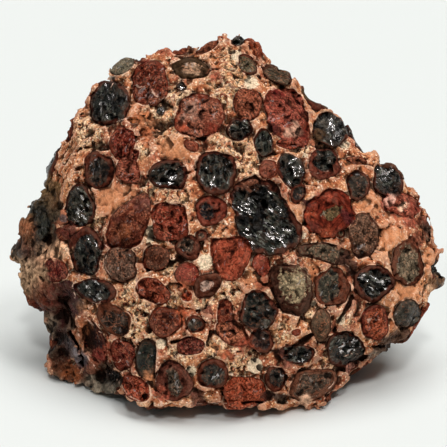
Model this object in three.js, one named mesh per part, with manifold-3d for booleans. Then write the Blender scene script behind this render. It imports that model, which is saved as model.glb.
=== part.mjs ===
// A hand specimen of pisolitic bauxite: one broken lump of red-brown, pea-textured ore, standing on its
// own rough underside with its main fracture face leaning back a little.
//
// The stone is one closed body. Its shape is the zero level of a signed field, negative inside, made of
//   - a main fracture face, a height field of FACE_DEPTH points over the FACE_OUTLINE polygon,
//   - flanks that run back from that outline, draw in behind it and are broken by flat fracture planes,
//   - an underside that is undercut at the front and worn to a flat resting facet at z = 0.
// A geodesic sphere is pushed onto that field, relaxed so that its triangles are even, and trimmed flat
// on the resting plane.
//
// Units are millimetres, +Z up, the main face looks towards -Y. The origin is the bottom centre of the
// stone's bounding box.
import * as THREE from "three";
import { mergeVertices } from "three/addons/utils/BufferGeometryUtils.js";
import Module from "manifold-3d";

// ---- driving dimensions -------------------------------------------------------------------------------
const FACE_LEAN_DEG = 22; // how far the main face's normal points up from the horizontal
const CENTRE_Z = 42; // height of the face frame's centre above the resting plane
const FLARE_APEX = 450; // the flanks are sectors of a cone with its apex this far in front of the centre
const CENTRE_X = -0.2426; // the face frame's centre, from the bounding box's bottom centre
const CENTRE_Y = -0.4473;
const SPHERE_DETAIL = 20; // geodesic divisions: 20 * (n + 1)^2 triangles before trimming
const EDGE_ROUND = 1.5; // blend between the main face and the flanks
const DRAW_IN = 0.05; // how fast the flanks draw in behind the face, and how that grows with depth
const DRAW_IN_MORE = 0.0028;
const REAR_SMOOTHING = 40; // passes of evening out that make the rear outline
const REAR_FROM = 9; // how far behind the face the flanks follow the rear outline alone
const RELIEF = 0.6; // low waves over the whole surface
const UNDERCUT = 0.4; // slope of the underside in front of the resting facet
const UNDERCUT_FROM_Y = -24; // where the undercut starts, in the face frame's centre coordinates

const BASE_LIFT = 1.8; // how far the underside clears the resting plane between its pads
// The worn pads it rests on: x, y and radius, in the face frame's centre coordinates.
const PADS = [
  [-6, 2, 8],
  [5, -2, 7],
  [1, 8, 6],
  [-14, -6, 5],
  [24, -20, 6],
  [-35, 3, 5],
  [14, 19, 6],
];

// The outline of the main face, [across, up] in the face frame.
const FACE_OUTLINE = [
  [-2.99, 47.19], [-1.95, 48.49], [-0.91, 49.14], [0.65, 48.23], [1.95, 47.71], [3.25, 48.62], [4.03, 49.01],
  [5.07, 47.97], [6.89, 47.45], [7.67, 45.89], [8.71, 44.07], [9.75, 42.51], [10.79, 41.86], [12.09, 41.6],
  [13.65, 40.69], [14.95, 39.91], [16.77, 39.65], [18.07, 38.35], [19.37, 37.31], [19.76, 35.49], [19.76,
  33.93], [20.41, 32.37], [21.19, 31.46], [22.49, 30.42], [23.27, 29.64], [25.09, 29.38], [26.91, 28.73],
  [28.47, 28.6], [29.25, 27.69], [30.55, 26.65], [31.59, 25.35], [32.37, 24.05], [32.63, 22.75], [32.89, 20.93],
  [33.67, 19.63], [34.71, 18.33], [35.49, 17.42], [36.79, 17.03], [37.83, 17.94], [38.74, 18.59], [39.91,
  17.94], [40.69, 16.64], [42.25, 15.47], [43.55, 14.43], [44.33, 13.13], [45.37, 12.09], [46.15, 10.53],
  [47.19, 8.97], [48.75, 8.45], [50.05, 7.41], [50.57, 5.59], [51.61, 3.77], [52.26, 1.95], [52.39, 0.39],
  [52.65, -1.17], [53.56, -2.21], [53.43, -3.77], [53.17, -5.07], [54.47, -6.37], [55.77, -6.76], [57.2, -6.76],
  [56.29, -8.19], [55.77, -9.75], [54.47, -11.05], [54.34, -12.61], [55.25, -13.65], [56.55, -14.69], [56.81,
  -15.73], [55.51, -16.64], [53.43, -17.29], [52.39, -18.07], [52.13, -19.37], [52.91, -20.8], [51.61, -21.97],
  [50.83, -23.27], [50.18, -25.09], [49.01, -26.91], [47.97, -28.21], [46.93, -29.77], [45.37, -31.2], [43.29,
  -32.37], [40.95, -33.41], [38.87, -34.32], [37.31, -35.23], [35.75, -36.01], [34.19, -37.18], [32.89, -38.35],
  [31.59, -39.78], [30.55, -41.21], [29.51, -43.03], [28.21, -44.85], [26.65, -46.41], [24.57, -47.58], [21.97,
  -48.23], [19.11, -48.62], [16.25, -48.23], [13.39, -47.45], [11.57, -47.45], [10.01, -47.84], [8.45, -47.32],
  [6.89, -47.71], [5.07, -48.75], [2.99, -48.36], [1.17, -47.58], [-0.91, -46.41], [-3.51, -46.41], [-6.11,
  -46.67], [-8.71, -47.19], [-11.83, -47.58], [-13.91, -46.8], [-16.51, -47.19], [-19.11, -46.93], [-20.93,
  -46.41], [-22.49, -45.76], [-24.31, -44.85], [-25.61, -43.55], [-27.43, -43.55], [-30.81, -43.29], [-33.41,
  -43.29], [-35.23, -43.81], [-37.31, -44.59], [-38.09, -44.07], [-38.09, -42.77], [-40.43, -41.73], [-42.51,
  -40.95], [-43.81, -39.91], [-45.11, -38.61], [-45.89, -37.05], [-45.37, -34.97], [-44.85, -33.41], [-44.33,
  -31.59], [-44.07, -29.77], [-44.46, -27.69], [-44.85, -26.39], [-45.63, -25.09], [-45.63, -23.27], [-46.15,
  -21.97], [-47.71, -20.8], [-49.53, -19.89], [-50.05, -18.33], [-51.09, -16.77], [-51.87, -15.73], [-52.39,
  -13.65], [-52.39, -11.83], [-52.91, -10.53], [-53.95, -9.23], [-54.6, -7.67], [-54.47, -5.85], [-53.95,
  -4.81], [-52.91, -4.03], [-52.91, -2.21], [-52.39, -0.39], [-51.87, 0.91], [-50.83, 1.95], [-50.31, 3.51],
  [-49.27, 5.33], [-47.71, 6.11], [-47.19, 7.41], [-45.89, 8.45], [-45.11, 8.97], [-45.37, 10.27], [-44.59,
  11.31], [-44.59, 12.61], [-44.85, 14.17], [-44.07, 15.73], [-43.29, 17.29], [-42.51, 19.11], [-41.73, 20.41],
  [-40.95, 21.71], [-40.69, 23.27], [-40.17, 24.57], [-40.69, 25.61], [-39.65, 26.65], [-38.87, 27.69], [-37.83,
  28.73], [-36.27, 29.25], [-35.23, 30.03], [-35.23, 31.85], [-34.19, 32.89], [-33.41, 34.45], [-32.37, 35.75],
  [-31.07, 37.05], [-30.29, 38.35], [-30.03, 39.65], [-29.25, 40.95], [-28.73, 42.51], [-27.17, 43.29], [-25.61,
  43.55], [-24.05, 43.55], [-22.49, 43.94], [-21.19, 44.33], [-19.11, 45.37], [-17.55, 46.02], [-15.73, 45.89],
  [-13.91, 45.76], [-12.61, 46.67], [-11.31, 47.32], [-10.27, 46.93], [-9.23, 45.63], [-8.19, 44.98], [-6.89,
  44.98], [-5.33, 46.02], [-4.03, 46.67],
];

// The main face's relief, [across, up, height towards the front], in the face frame.
const FACE_DEPTH = [
  [-28.21, 42.51, -4], [-19.11, 45.11, -5], [-11.31, 46.93, -6], [-7.41, 45.11, -4], [-0.91, 48.75, -6], [4.29,
  48.75, -7], [10.01, 41.99, -5], [19.37, 37.31, -6], [19.89, 33.41, -4], [28.47, 28.73, -5], [32.63, 23.01,
  -5], [35.49, 17.55, -3], [38.87, 18.59, -5], [43.81, 14.43, -5], [46.93, 9.23, -5], [50.31, 6.63, -4], [52.39,
  0.91, -3], [53.43, -4.29, -2], [57.07, -6.89, -2], [54.47, -11.57, 0], [56.81, -15.73, -4], [52.65, -18.07,
  1], [52.91, -20.93, 0], [50.31, -25.09, 0], [46.93, -29.77, 1], [40.95, -33.41, 3], [34.19, -37.05, 5],
  [30.55, -41.21, 7], [27.69, -45.37, 8], [24.57, -47.45, 8], [19.11, -48.49, 9], [10.01, -47.71, 13], [4.29,
  -48.75, 15], [-6.11, -46.93, 16.5], [-13.91, -46.93, 16], [-21.71, -46.15, 14], [-25.61, -43.55, 10.5],
  [-27.43, -41.47, 6], [-32.11, -43.81, 0], [-37.31, -44.33, -3.7], [-42.51, -41.21, -6], [-45.89, -37.05, -9],
  [-44.33, -31.59, -10], [-45.63, -23.79, -8], [-49.53, -19.89, -8], [-52.39, -13.65, -10], [-54.73, -7.41,
  -14], [-52.91, -2.99, -13], [-50.31, 3.51, -12], [-47.19, 7.41, -10], [-45.11, 10.01, -8], [-44.59, 13.39,
  -8], [-42.51, 19.11, -6], [-40.69, 24.31, -4], [-38.61, 27.95, -4], [-35.23, 30.55, -3], [-33.41, 34.19, -3],
  [-30.03, 39.39, -4], [-24.31, 38.61, 1], [-16.51, 38.61, 3], [-8.71, 40.43, 3], [-0.91, 41.21, 4], [5.59,
  41.21, 3], [12.09, 37.83, 0], [15.99, 36.01, 0], [-29.51, 30.81, 3], [-19.11, 32.11, 7], [-8.71, 30.81, 9],
  [1.69, 32.11, 9], [10.79, 30.81, 6], [17.29, 29.51, 4], [-37.31, 21.71, 3], [-29.51, 21.71, 8], [-19.11,
  21.71, 12], [-8.71, 21.71, 14], [1.69, 21.71, 14], [12.09, 21.71, 11], [19.89, 23.01, 7], [27.69, 23.01, 2],
  [30.29, 19.11, 1], [-41.21, 12.61, 2], [-33.41, 13.91, 7], [-24.31, 12.61, 13], [-13.91, 12.61, 16], [-2.21,
  12.61, 17.5], [9.49, 12.61, 17], [19.89, 12.61, 13], [30.29, 12.61, 8], [38.09, 12.61, 4], [43.29, 11.31, -1],
  [-46.41, -0.39, -5], [-42.51, 2.21, 1], [-37.31, 3.51, 6], [-26.91, 2.21, 13], [-16.51, 2.21, 17], [-3.51,
  2.21, 19], [9.49, 2.21, 19], [19.89, 2.21, 17], [30.29, 2.21, 12], [40.69, 2.21, 7], [48.49, 2.21, 2],
  [-50.31, -6.89, -8], [-46.41, -6.89, -2], [-42.51, -6.89, 4], [-34.71, -6.89, 9], [-24.31, -6.89, 15],
  [-13.91, -6.89, 18], [-0.91, -6.89, 20.5], [12.09, -6.89, 20], [22.49, -6.89, 17.5], [32.89, -6.89, 13],
  [43.29, -6.89, 9], [49.79, -8.19, 5], [54.21, -8.19, 0], [-47.71, -15.99, -3], [-42.51, -15.99, 3], [-36.01,
  -17.29, 9], [-29.51, -17.29, 13], [-19.11, -17.29, 17], [-6.11, -17.29, 20.5], [6.89, -17.29, 20.5], [19.89,
  -17.29, 18.5], [30.29, -17.29, 15], [40.69, -17.29, 11], [48.49, -18.59, 6], [-42.51, -25.09, -4], [-38.61,
  -26.39, 1], [-32.11, -26.39, 10], [-24.31, -26.39, 15], [-16.51, -26.39, 18.5], [-6.11, -26.39, 20.5], [6.89,
  -26.39, 20], [19.89, -26.39, 18], [30.29, -26.39, 14], [40.69, -26.39, 9.5], [45.89, -26.39, 5], [-42.51,
  -35.49, -6], [-38.61, -34.19, -3], [-33.41, -32.89, 6], [-28.21, -32.89, 10], [-21.71, -34.19, 15], [-13.91,
  -35.49, 18.5], [-3.51, -35.49, 19.5], [6.89, -35.49, 18.5], [19.89, -35.49, 15.5], [30.29, -34.19, 11],
  [-41.21, -39.39, -5], [-34.71, -39.39, -2], [-32.11, -41.99, -2], [-21.71, -41.99, 13.5], [-13.91, -41.99,
  17.5], [-3.51, -41.99, 18], [5.59, -43.29, 17], [14.69, -41.99, 13], [23.79, -41.99, 10.5],
];

// Fracture planes on the flanks and back: outward normal, then distance from the core point (0, 4, 44).
const FRACTURES = [
  [0.08, 0.98, -0.12, 28], // back
  [-0.28, 0.92, 0.3, 31], // back, towards the upper left
  [0.42, 0.88, 0.24, 34], // back, towards the upper right
  [-0.38, 0.84, -0.4, 34.5], // back, towards the lower left
  [0.48, 0.78, -0.42, 37], // back, towards the lower right
  [-0.62, 0.76, 0.16, 48.5], // back left
  [0.7, 0.7, -0.05, 50.5], // back right
  [0.05, 0.62, 0.78, 50], // upper back
  [-0.5, 0.55, 0.68, 53], // upper back left
  [0.58, 0.48, 0.62, 48], // upper back right
  [-0.86, 0.42, -0.28, 58], // lower left
  [0.8, 0.36, -0.5, 56], // lower right
  [0.15, 0.75, -0.62, 36], // lower back
];

// ---- the face frame -----------------------------------------------------------------------------------
const lean = THREE.MathUtils.degToRad(FACE_LEAN_DEG);
const ca = Math.cos(lean);
const sa = Math.sin(lean);

// Relief of the main face: a thin-plate spline through FACE_DEPTH.
function solve(a, b) {
  const n = b.length;
  for (let i = 0; i < n; i++) {
    let p = i;
    for (let r = i + 1; r < n; r++) if (Math.abs(a[r][i]) > Math.abs(a[p][i])) p = r;
    [a[i], a[p]] = [a[p], a[i]];
    [b[i], b[p]] = [b[p], b[i]];
    for (let r = i + 1; r < n; r++) {
      const f = a[r][i] / a[i][i];
      if (f === 0) continue;
      for (let c = i; c < n; c++) a[r][c] -= f * a[i][c];
      b[r] -= f * b[i];
    }
  }
  for (let i = n - 1; i >= 0; i--) {
    for (let c = i + 1; c < n; c++) b[i] -= a[i][c] * b[c];
    b[i] /= a[i][i];
  }
  return b;
}
const bend = (d2) => (d2 > 1e-9 ? 0.5 * d2 * Math.log(d2) : 0);
const SMOOTHING = 6;
const weights = (() => {
  const n = FACE_DEPTH.length;
  const a = [];
  for (let i = 0; i < n + 3; i++) a.push(new Float64Array(n + 3));
  const b = new Array(n + 3).fill(0);
  FACE_DEPTH.forEach(([x, y, w], i) => {
    FACE_DEPTH.forEach(([p, q], j) => {
      a[i][j] = bend((x - p) ** 2 + (y - q) ** 2);
    });
    a[i][i] += SMOOTHING;
    a[i][n] = a[n][i] = 1;
    a[i][n + 1] = a[n + 1][i] = x;
    a[i][n + 2] = a[n + 2][i] = y;
    b[i] = w;
  });
  return solve(a, b);
})();
function faceHeight(x, y) {
  const n = FACE_DEPTH.length;
  let s = weights[n] + weights[n + 1] * x + weights[n + 2] * y;
  for (let i = 0; i < n; i++) s += weights[i] * bend((x - FACE_DEPTH[i][0]) ** 2 + (y - FACE_DEPTH[i][1]) ** 2);
  return s;
}

// The same outline with its notches and knobs evened out, which the flanks follow further back.
let rear = FACE_OUTLINE;
for (let pass = 0; pass < REAR_SMOOTHING; pass++)
  rear = rear.map(([x, y], i) => {
    const [p, q] = rear[(i + rear.length - 1) % rear.length];
    const [r, s] = rear[(i + 1) % rear.length];
    return [(p + 2 * x + r) / 4, (q + 2 * y + s) / 4];
  });
const REAR_OUTLINE = rear;

// Signed distance to an outline, negative inside.
function outlineDistance(outline, x, y) {
  let d = 1e9;
  let inside = false;
  const n = outline.length;
  for (let i = 0, j = n - 1; i < n; j = i++) {
    const [xi, yi] = outline[i];
    const [xj, yj] = outline[j];
    const ex = xj - xi;
    const ey = yj - yi;
    const t = Math.min(1, Math.max(0, ((x - xi) * ex + (y - yi) * ey) / (ex * ex + ey * ey)));
    d = Math.min(d, Math.hypot(x - xi - t * ex, y - yi - t * ey));
    if (yi > y !== yj > y && x < ((xj - xi) * (y - yi)) / (yj - yi) + xi) inside = !inside;
  }
  return inside ? -d : d;
}

const smoothMax = (a, b, k) => {
  const h = Math.max(k - Math.abs(a - b), 0) / k;
  return Math.max(a, b) + (h * h * k) / 4;
};

// Low waves, so that no flank is a true plane: sines in fixed directions.
const WAVES = [
  [0.21, 0.13, -0.17, 0.4, 1.0],
  [-0.11, 0.24, 0.19, 2.1, 1.0],
  [0.29, -0.2, 0.12, 4.4, 0.8],
  [0.16, 0.33, -0.27, 1.3, 0.7],
  [-0.38, 0.14, 0.3, 5.2, 0.6],
  [0.45, 0.36, 0.22, 3.3, 0.45],
  [-0.31, -0.52, 0.4, 0.9, 0.4],
  [0.6, -0.28, -0.47, 2.7, 0.35],
];
const waves = (x, y, z) => WAVES.reduce((s, [a, b, c, p, k]) => s + k * Math.sin(a * x + b * y + c * z + p), 0);

// The field, in coordinates from the face frame's centre across (x) and back (y), and from the resting plane up (z).
function field(x, y, z) {
  const zc = z - CENTRE_Z;
  const v = y * sa + zc * ca;
  const w = -y * ca + zc * sa;
  const s = FLARE_APEX / (FLARE_APEX - w);
  const U = x * s;
  const V = v * s;
  const h = faceHeight(U, V);
  const gx = (faceHeight(U + 0.5, V) - h) / 0.5;
  const gy = (faceHeight(U, V + 0.5) - h) / 0.5;
  const front = (w - h) / Math.sqrt(1 + Math.min(4, gx * gx + gy * gy));
  const back = Math.max(0, h - w - 3);
  const toRear = Math.min(1, back / REAR_FROM);
  const edge =
    (toRear < 1 ? (1 - toRear) * outlineDistance(FACE_OUTLINE, U, V) : 0) +
    (toRear > 0 ? toRear * outlineDistance(REAR_OUTLINE, U, V) : 0);
  const flank = edge / s + DRAW_IN * back + DRAW_IN_MORE * back * back;
  let f = smoothMax(front, flank, EDGE_ROUND);
  for (const [nx, ny, nz, d] of FRACTURES) {
    const l = Math.hypot(nx, ny, nz);
    f = smoothMax(f, (nx * x + ny * (y - 4) + nz * (z - 44)) / l - d, 2);
  }
  const lift = smoothMax(0, UNDERCUT * (UNDERCUT_FROM_Y - y), 2) + baseLift(x, y);
  f = smoothMax(f, lift - z, 1.5);
  return f + RELIEF * 0.4 * waves(x, y, z) * Math.min(1, Math.max(0, z / 6));
}

// The underside rises a little between the pads that it rests on.
function baseLift(x, y) {
  const gap = Math.min(...PADS.map(([px, py, r]) => (Math.hypot(x - px, y - py) - r) / 10));
  const ragged = 0.12 * Math.sin(0.55 * x + 0.31 * y) + 0.1 * Math.sin(0.83 * y - 0.4 * x + 1.7);
  return BASE_LIFT * Math.min(1, Math.max(0, gap + ragged));
}

// ---- the surface --------------------------------------------------------------------------------------
const sphere = new THREE.IcosahedronGeometry(1, SPHERE_DETAIL);
sphere.deleteAttribute("normal");
sphere.deleteAttribute("uv");
const shell = mergeVertices(sphere, 1e-5);
const at = shell.attributes.position;
const core = new THREE.Vector3(0, 2, 40);
const points = [];
for (let i = 0; i < at.count; i++) {
  const d = new THREE.Vector3().fromBufferAttribute(at, i).normalize();
  let lo = 5;
  let hi = 95;
  for (let r = hi; r > lo; r -= 1.5) {
    if (field(core.x + d.x * r, core.y + d.y * r, core.z + d.z * r) < 0) {
      lo = r;
      hi = r + 1.5;
      break;
    }
  }
  for (let k = 0; k < 10; k++) {
    const r = (lo + hi) / 2;
    if (field(core.x + d.x * r, core.y + d.y * r, core.z + d.z * r) < 0) lo = r;
    else hi = r;
  }
  points.push(core.clone().addScaledVector(d, (lo + hi) / 2));
}

// Neighbours, for evening out the triangles.
const index = shell.index.array;
const around = points.map(() => new Set());
for (let t = 0; t < index.length; t += 3)
  for (let k = 0; k < 3; k++) {
    around[index[t + k]].add(index[t + ((k + 1) % 3)]);
    around[index[t + k]].add(index[t + ((k + 2) % 3)]);
  }
const slope = (p) => {
  const e = 0.3;
  const f = field(p.x, p.y, p.z);
  return [
    f,
    new THREE.Vector3(
      (field(p.x + e, p.y, p.z) - f) / e,
      (field(p.x, p.y + e, p.z) - f) / e,
      (field(p.x, p.y, p.z + e) - f) / e,
    ),
  ];
};
for (let pass = 0; pass < 9; pass++) {
  const moved = points.map((p, i) => {
    const mean = new THREE.Vector3();
    for (const j of around[i]) mean.add(points[j]);
    return p.clone().lerp(mean.divideScalar(around[i].size), pass < 9 - 1 ? 0.45 : 0);
  });
  moved.forEach((p, i) => {
    for (let k = 0; k < 2; k++) {
      const [f, g] = slope(p);
      const l2 = Math.max(0.25, g.lengthSq());
      p.addScaledVector(g, -THREE.MathUtils.clamp(f, -2, 2) / l2);
    }
    points[i].copy(p);
  });
}
points.forEach((p, i) => at.setXYZ(i, p.x + CENTRE_X, p.y + CENTRE_Y, p.z - 0.25));

// ---- the resting facet: everything under z = 0 is trimmed away -----------------------------------------
const wasm = await Module();
wasm.setup();
const solidOf = (geometry) => {
  const g = geometry.clone();
  for (const name of Object.keys(g.attributes)) if (name !== "position") g.deleteAttribute(name);
  const m = mergeVertices(g, 1e-4);
  return new wasm.Manifold(
    new wasm.Mesh({
      numProp: 3,
      vertProperties: new Float32Array(m.attributes.position.array),
      triVerts: new Uint32Array(m.index.array),
    }),
  );
};
const ground = new THREE.BoxGeometry(300, 300, 60).translate(0, 0, -30);
const trimmed = solidOf(shell)
  .subtract(solidOf(ground))
  .decompose()
  .sort((a, b) => b.volume() - a.volume())[0];
const cut = trimmed.getMesh();
const stone = new THREE.BufferGeometry();
const verts = new Float32Array(cut.numVert * 3);
for (let i = 0; i < cut.numVert; i++)
  verts.set(cut.vertProperties.subarray(i * cut.numProp, i * cut.numProp + 3), i * 3);
stone.setAttribute("position", new THREE.BufferAttribute(verts, 3));
stone.setIndex(new THREE.BufferAttribute(new Uint32Array(cut.triVerts), 1));
stone.computeVertexNormals();
stone.computeBoundingBox();

const ore = new THREE.MeshStandardMaterial({ color: 0x8f5138, roughness: 0.85, metalness: 0 });
const bauxite = new THREE.Mesh(stone, ore);
bauxite.name = "bauxite";

const specimen = new THREE.Group();
specimen.add(bauxite);

export default specimen;
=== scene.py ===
"""Looks for one hand specimen of pisolitic bauxite.

The stone is the zero level of the same signed field as the CAD solid, with fine relief added: pisoliths that stand
proud of the clay or are broken through, the grooves round them, cracks, pits and grain. It is meshed here, given one
procedural material that reads each pisolith's own coordinates, and rides on the CAD frame in place of the plain solid.
"""
import math

import bmesh  # noqa: E402
import bpy  # noqa: E402
import numpy as np  # noqa: E402
from mathutils import Matrix, Vector  # noqa: E402


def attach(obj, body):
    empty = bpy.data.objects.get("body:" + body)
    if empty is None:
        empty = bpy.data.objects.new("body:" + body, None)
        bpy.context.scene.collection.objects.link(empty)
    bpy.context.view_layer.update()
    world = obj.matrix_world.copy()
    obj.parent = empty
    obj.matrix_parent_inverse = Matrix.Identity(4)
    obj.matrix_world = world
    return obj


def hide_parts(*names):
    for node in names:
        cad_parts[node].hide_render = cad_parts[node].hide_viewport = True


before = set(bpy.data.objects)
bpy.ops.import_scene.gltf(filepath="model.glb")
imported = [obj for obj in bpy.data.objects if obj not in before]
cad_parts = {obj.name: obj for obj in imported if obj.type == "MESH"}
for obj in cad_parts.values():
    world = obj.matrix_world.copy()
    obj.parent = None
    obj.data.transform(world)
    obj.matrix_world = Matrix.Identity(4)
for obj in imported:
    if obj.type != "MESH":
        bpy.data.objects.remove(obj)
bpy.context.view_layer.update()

# ---- the stone's large shape: the CAD solid's field, in millimetres -----------------------------------------
LEAN = math.radians(22)
SA, CA = math.sin(LEAN), math.cos(LEAN)
CENTRE_Z = 42.0
APEX = 450.0
CENTRE_X, CENTRE_Y = -0.2426, -0.4473
PX = 0.26  # millimetres to a pixel of the 447 x 447 frame, at the plane through the face's centre
MID = 223.5
PADS = [(-6, 2, 8), (5, -2, 7), (1, 8, 6), (-14, -6, 5), (24, -20, 6), (-35, 3, 5), (14, 19, 6)]
OUTLINE = np.array([
    [-2.99, 47.19], [-1.95, 48.49], [-0.91, 49.14], [0.65, 48.23], [1.95, 47.71], [3.25, 48.62], [4.03, 49.01],
    [5.07, 47.97], [6.89, 47.45], [7.67, 45.89], [8.71, 44.07], [9.75, 42.51], [10.79, 41.86], [12.09, 41.6],
    [13.65, 40.69], [14.95, 39.91], [16.77, 39.65], [18.07, 38.35], [19.37, 37.31], [19.76, 35.49], [19.76,
    33.93], [20.41, 32.37], [21.19, 31.46], [22.49, 30.42], [23.27, 29.64], [25.09, 29.38], [26.91, 28.73],
    [28.47, 28.6], [29.25, 27.69], [30.55, 26.65], [31.59, 25.35], [32.37, 24.05], [32.63, 22.75], [32.89, 20.93],
    [33.67, 19.63], [34.71, 18.33], [35.49, 17.42], [36.79, 17.03], [37.83, 17.94], [38.74, 18.59], [39.91,
    17.94], [40.69, 16.64], [42.25, 15.47], [43.55, 14.43], [44.33, 13.13], [45.37, 12.09], [46.15, 10.53],
    [47.19, 8.97], [48.75, 8.45], [50.05, 7.41], [50.57, 5.59], [51.61, 3.77], [52.26, 1.95], [52.39, 0.39],
    [52.65, -1.17], [53.56, -2.21], [53.43, -3.77], [53.17, -5.07], [54.47, -6.37], [55.77, -6.76], [57.2, -6.76],
    [56.29, -8.19], [55.77, -9.75], [54.47, -11.05], [54.34, -12.61], [55.25, -13.65], [56.55, -14.69], [56.81,
    -15.73], [55.51, -16.64], [53.43, -17.29], [52.39, -18.07], [52.13, -19.37], [52.91, -20.8], [51.61, -21.97],
    [50.83, -23.27], [50.18, -25.09], [49.01, -26.91], [47.97, -28.21], [46.93, -29.77], [45.37, -31.2], [43.29,
    -32.37], [40.95, -33.41], [38.87, -34.32], [37.31, -35.23], [35.75, -36.01], [34.19, -37.18], [32.89, -38.35],
    [31.59, -39.78], [30.55, -41.21], [29.51, -43.03], [28.21, -44.85], [26.65, -46.41], [24.57, -47.58], [21.97,
    -48.23], [19.11, -48.62], [16.25, -48.23], [13.39, -47.45], [11.57, -47.45], [10.01, -47.84], [8.45, -47.32],
    [6.89, -47.71], [5.07, -48.75], [2.99, -48.36], [1.17, -47.58], [-0.91, -46.41], [-3.51, -46.41], [-6.11,
    -46.67], [-8.71, -47.19], [-11.83, -47.58], [-13.91, -46.8], [-16.51, -47.19], [-19.11, -46.93], [-20.93,
    -46.41], [-22.49, -45.76], [-24.31, -44.85], [-25.61, -43.55], [-27.43, -43.55], [-30.81, -43.29], [-33.41,
    -43.29], [-35.23, -43.81], [-37.31, -44.59], [-38.09, -44.07], [-38.09, -42.77], [-40.43, -41.73], [-42.51,
    -40.95], [-43.81, -39.91], [-45.11, -38.61], [-45.89, -37.05], [-45.37, -34.97], [-44.85, -33.41], [-44.33,
    -31.59], [-44.07, -29.77], [-44.46, -27.69], [-44.85, -26.39], [-45.63, -25.09], [-45.63, -23.27], [-46.15,
    -21.97], [-47.71, -20.8], [-49.53, -19.89], [-50.05, -18.33], [-51.09, -16.77], [-51.87, -15.73], [-52.39,
    -13.65], [-52.39, -11.83], [-52.91, -10.53], [-53.95, -9.23], [-54.6, -7.67], [-54.47, -5.85], [-53.95,
    -4.81], [-52.91, -4.03], [-52.91, -2.21], [-52.39, -0.39], [-51.87, 0.91], [-50.83, 1.95], [-50.31, 3.51],
    [-49.27, 5.33], [-47.71, 6.11], [-47.19, 7.41], [-45.89, 8.45], [-45.11, 8.97], [-45.37, 10.27], [-44.59,
    11.31], [-44.59, 12.61], [-44.85, 14.17], [-44.07, 15.73], [-43.29, 17.29], [-42.51, 19.11], [-41.73, 20.41],
    [-40.95, 21.71], [-40.69, 23.27], [-40.17, 24.57], [-40.69, 25.61], [-39.65, 26.65], [-38.87, 27.69], [-37.83,
    28.73], [-36.27, 29.25], [-35.23, 30.03], [-35.23, 31.85], [-34.19, 32.89], [-33.41, 34.45], [-32.37, 35.75],
    [-31.07, 37.05], [-30.29, 38.35], [-30.03, 39.65], [-29.25, 40.95], [-28.73, 42.51], [-27.17, 43.29], [-25.61,
    43.55], [-24.05, 43.55], [-22.49, 43.94], [-21.19, 44.33], [-19.11, 45.37], [-17.55, 46.02], [-15.73, 45.89],
    [-13.91, 45.76], [-12.61, 46.67], [-11.31, 47.32], [-10.27, 46.93], [-9.23, 45.63], [-8.19, 44.98], [-6.89,
    44.98], [-5.33, 46.02], [-4.03, 46.67],
])
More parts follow.
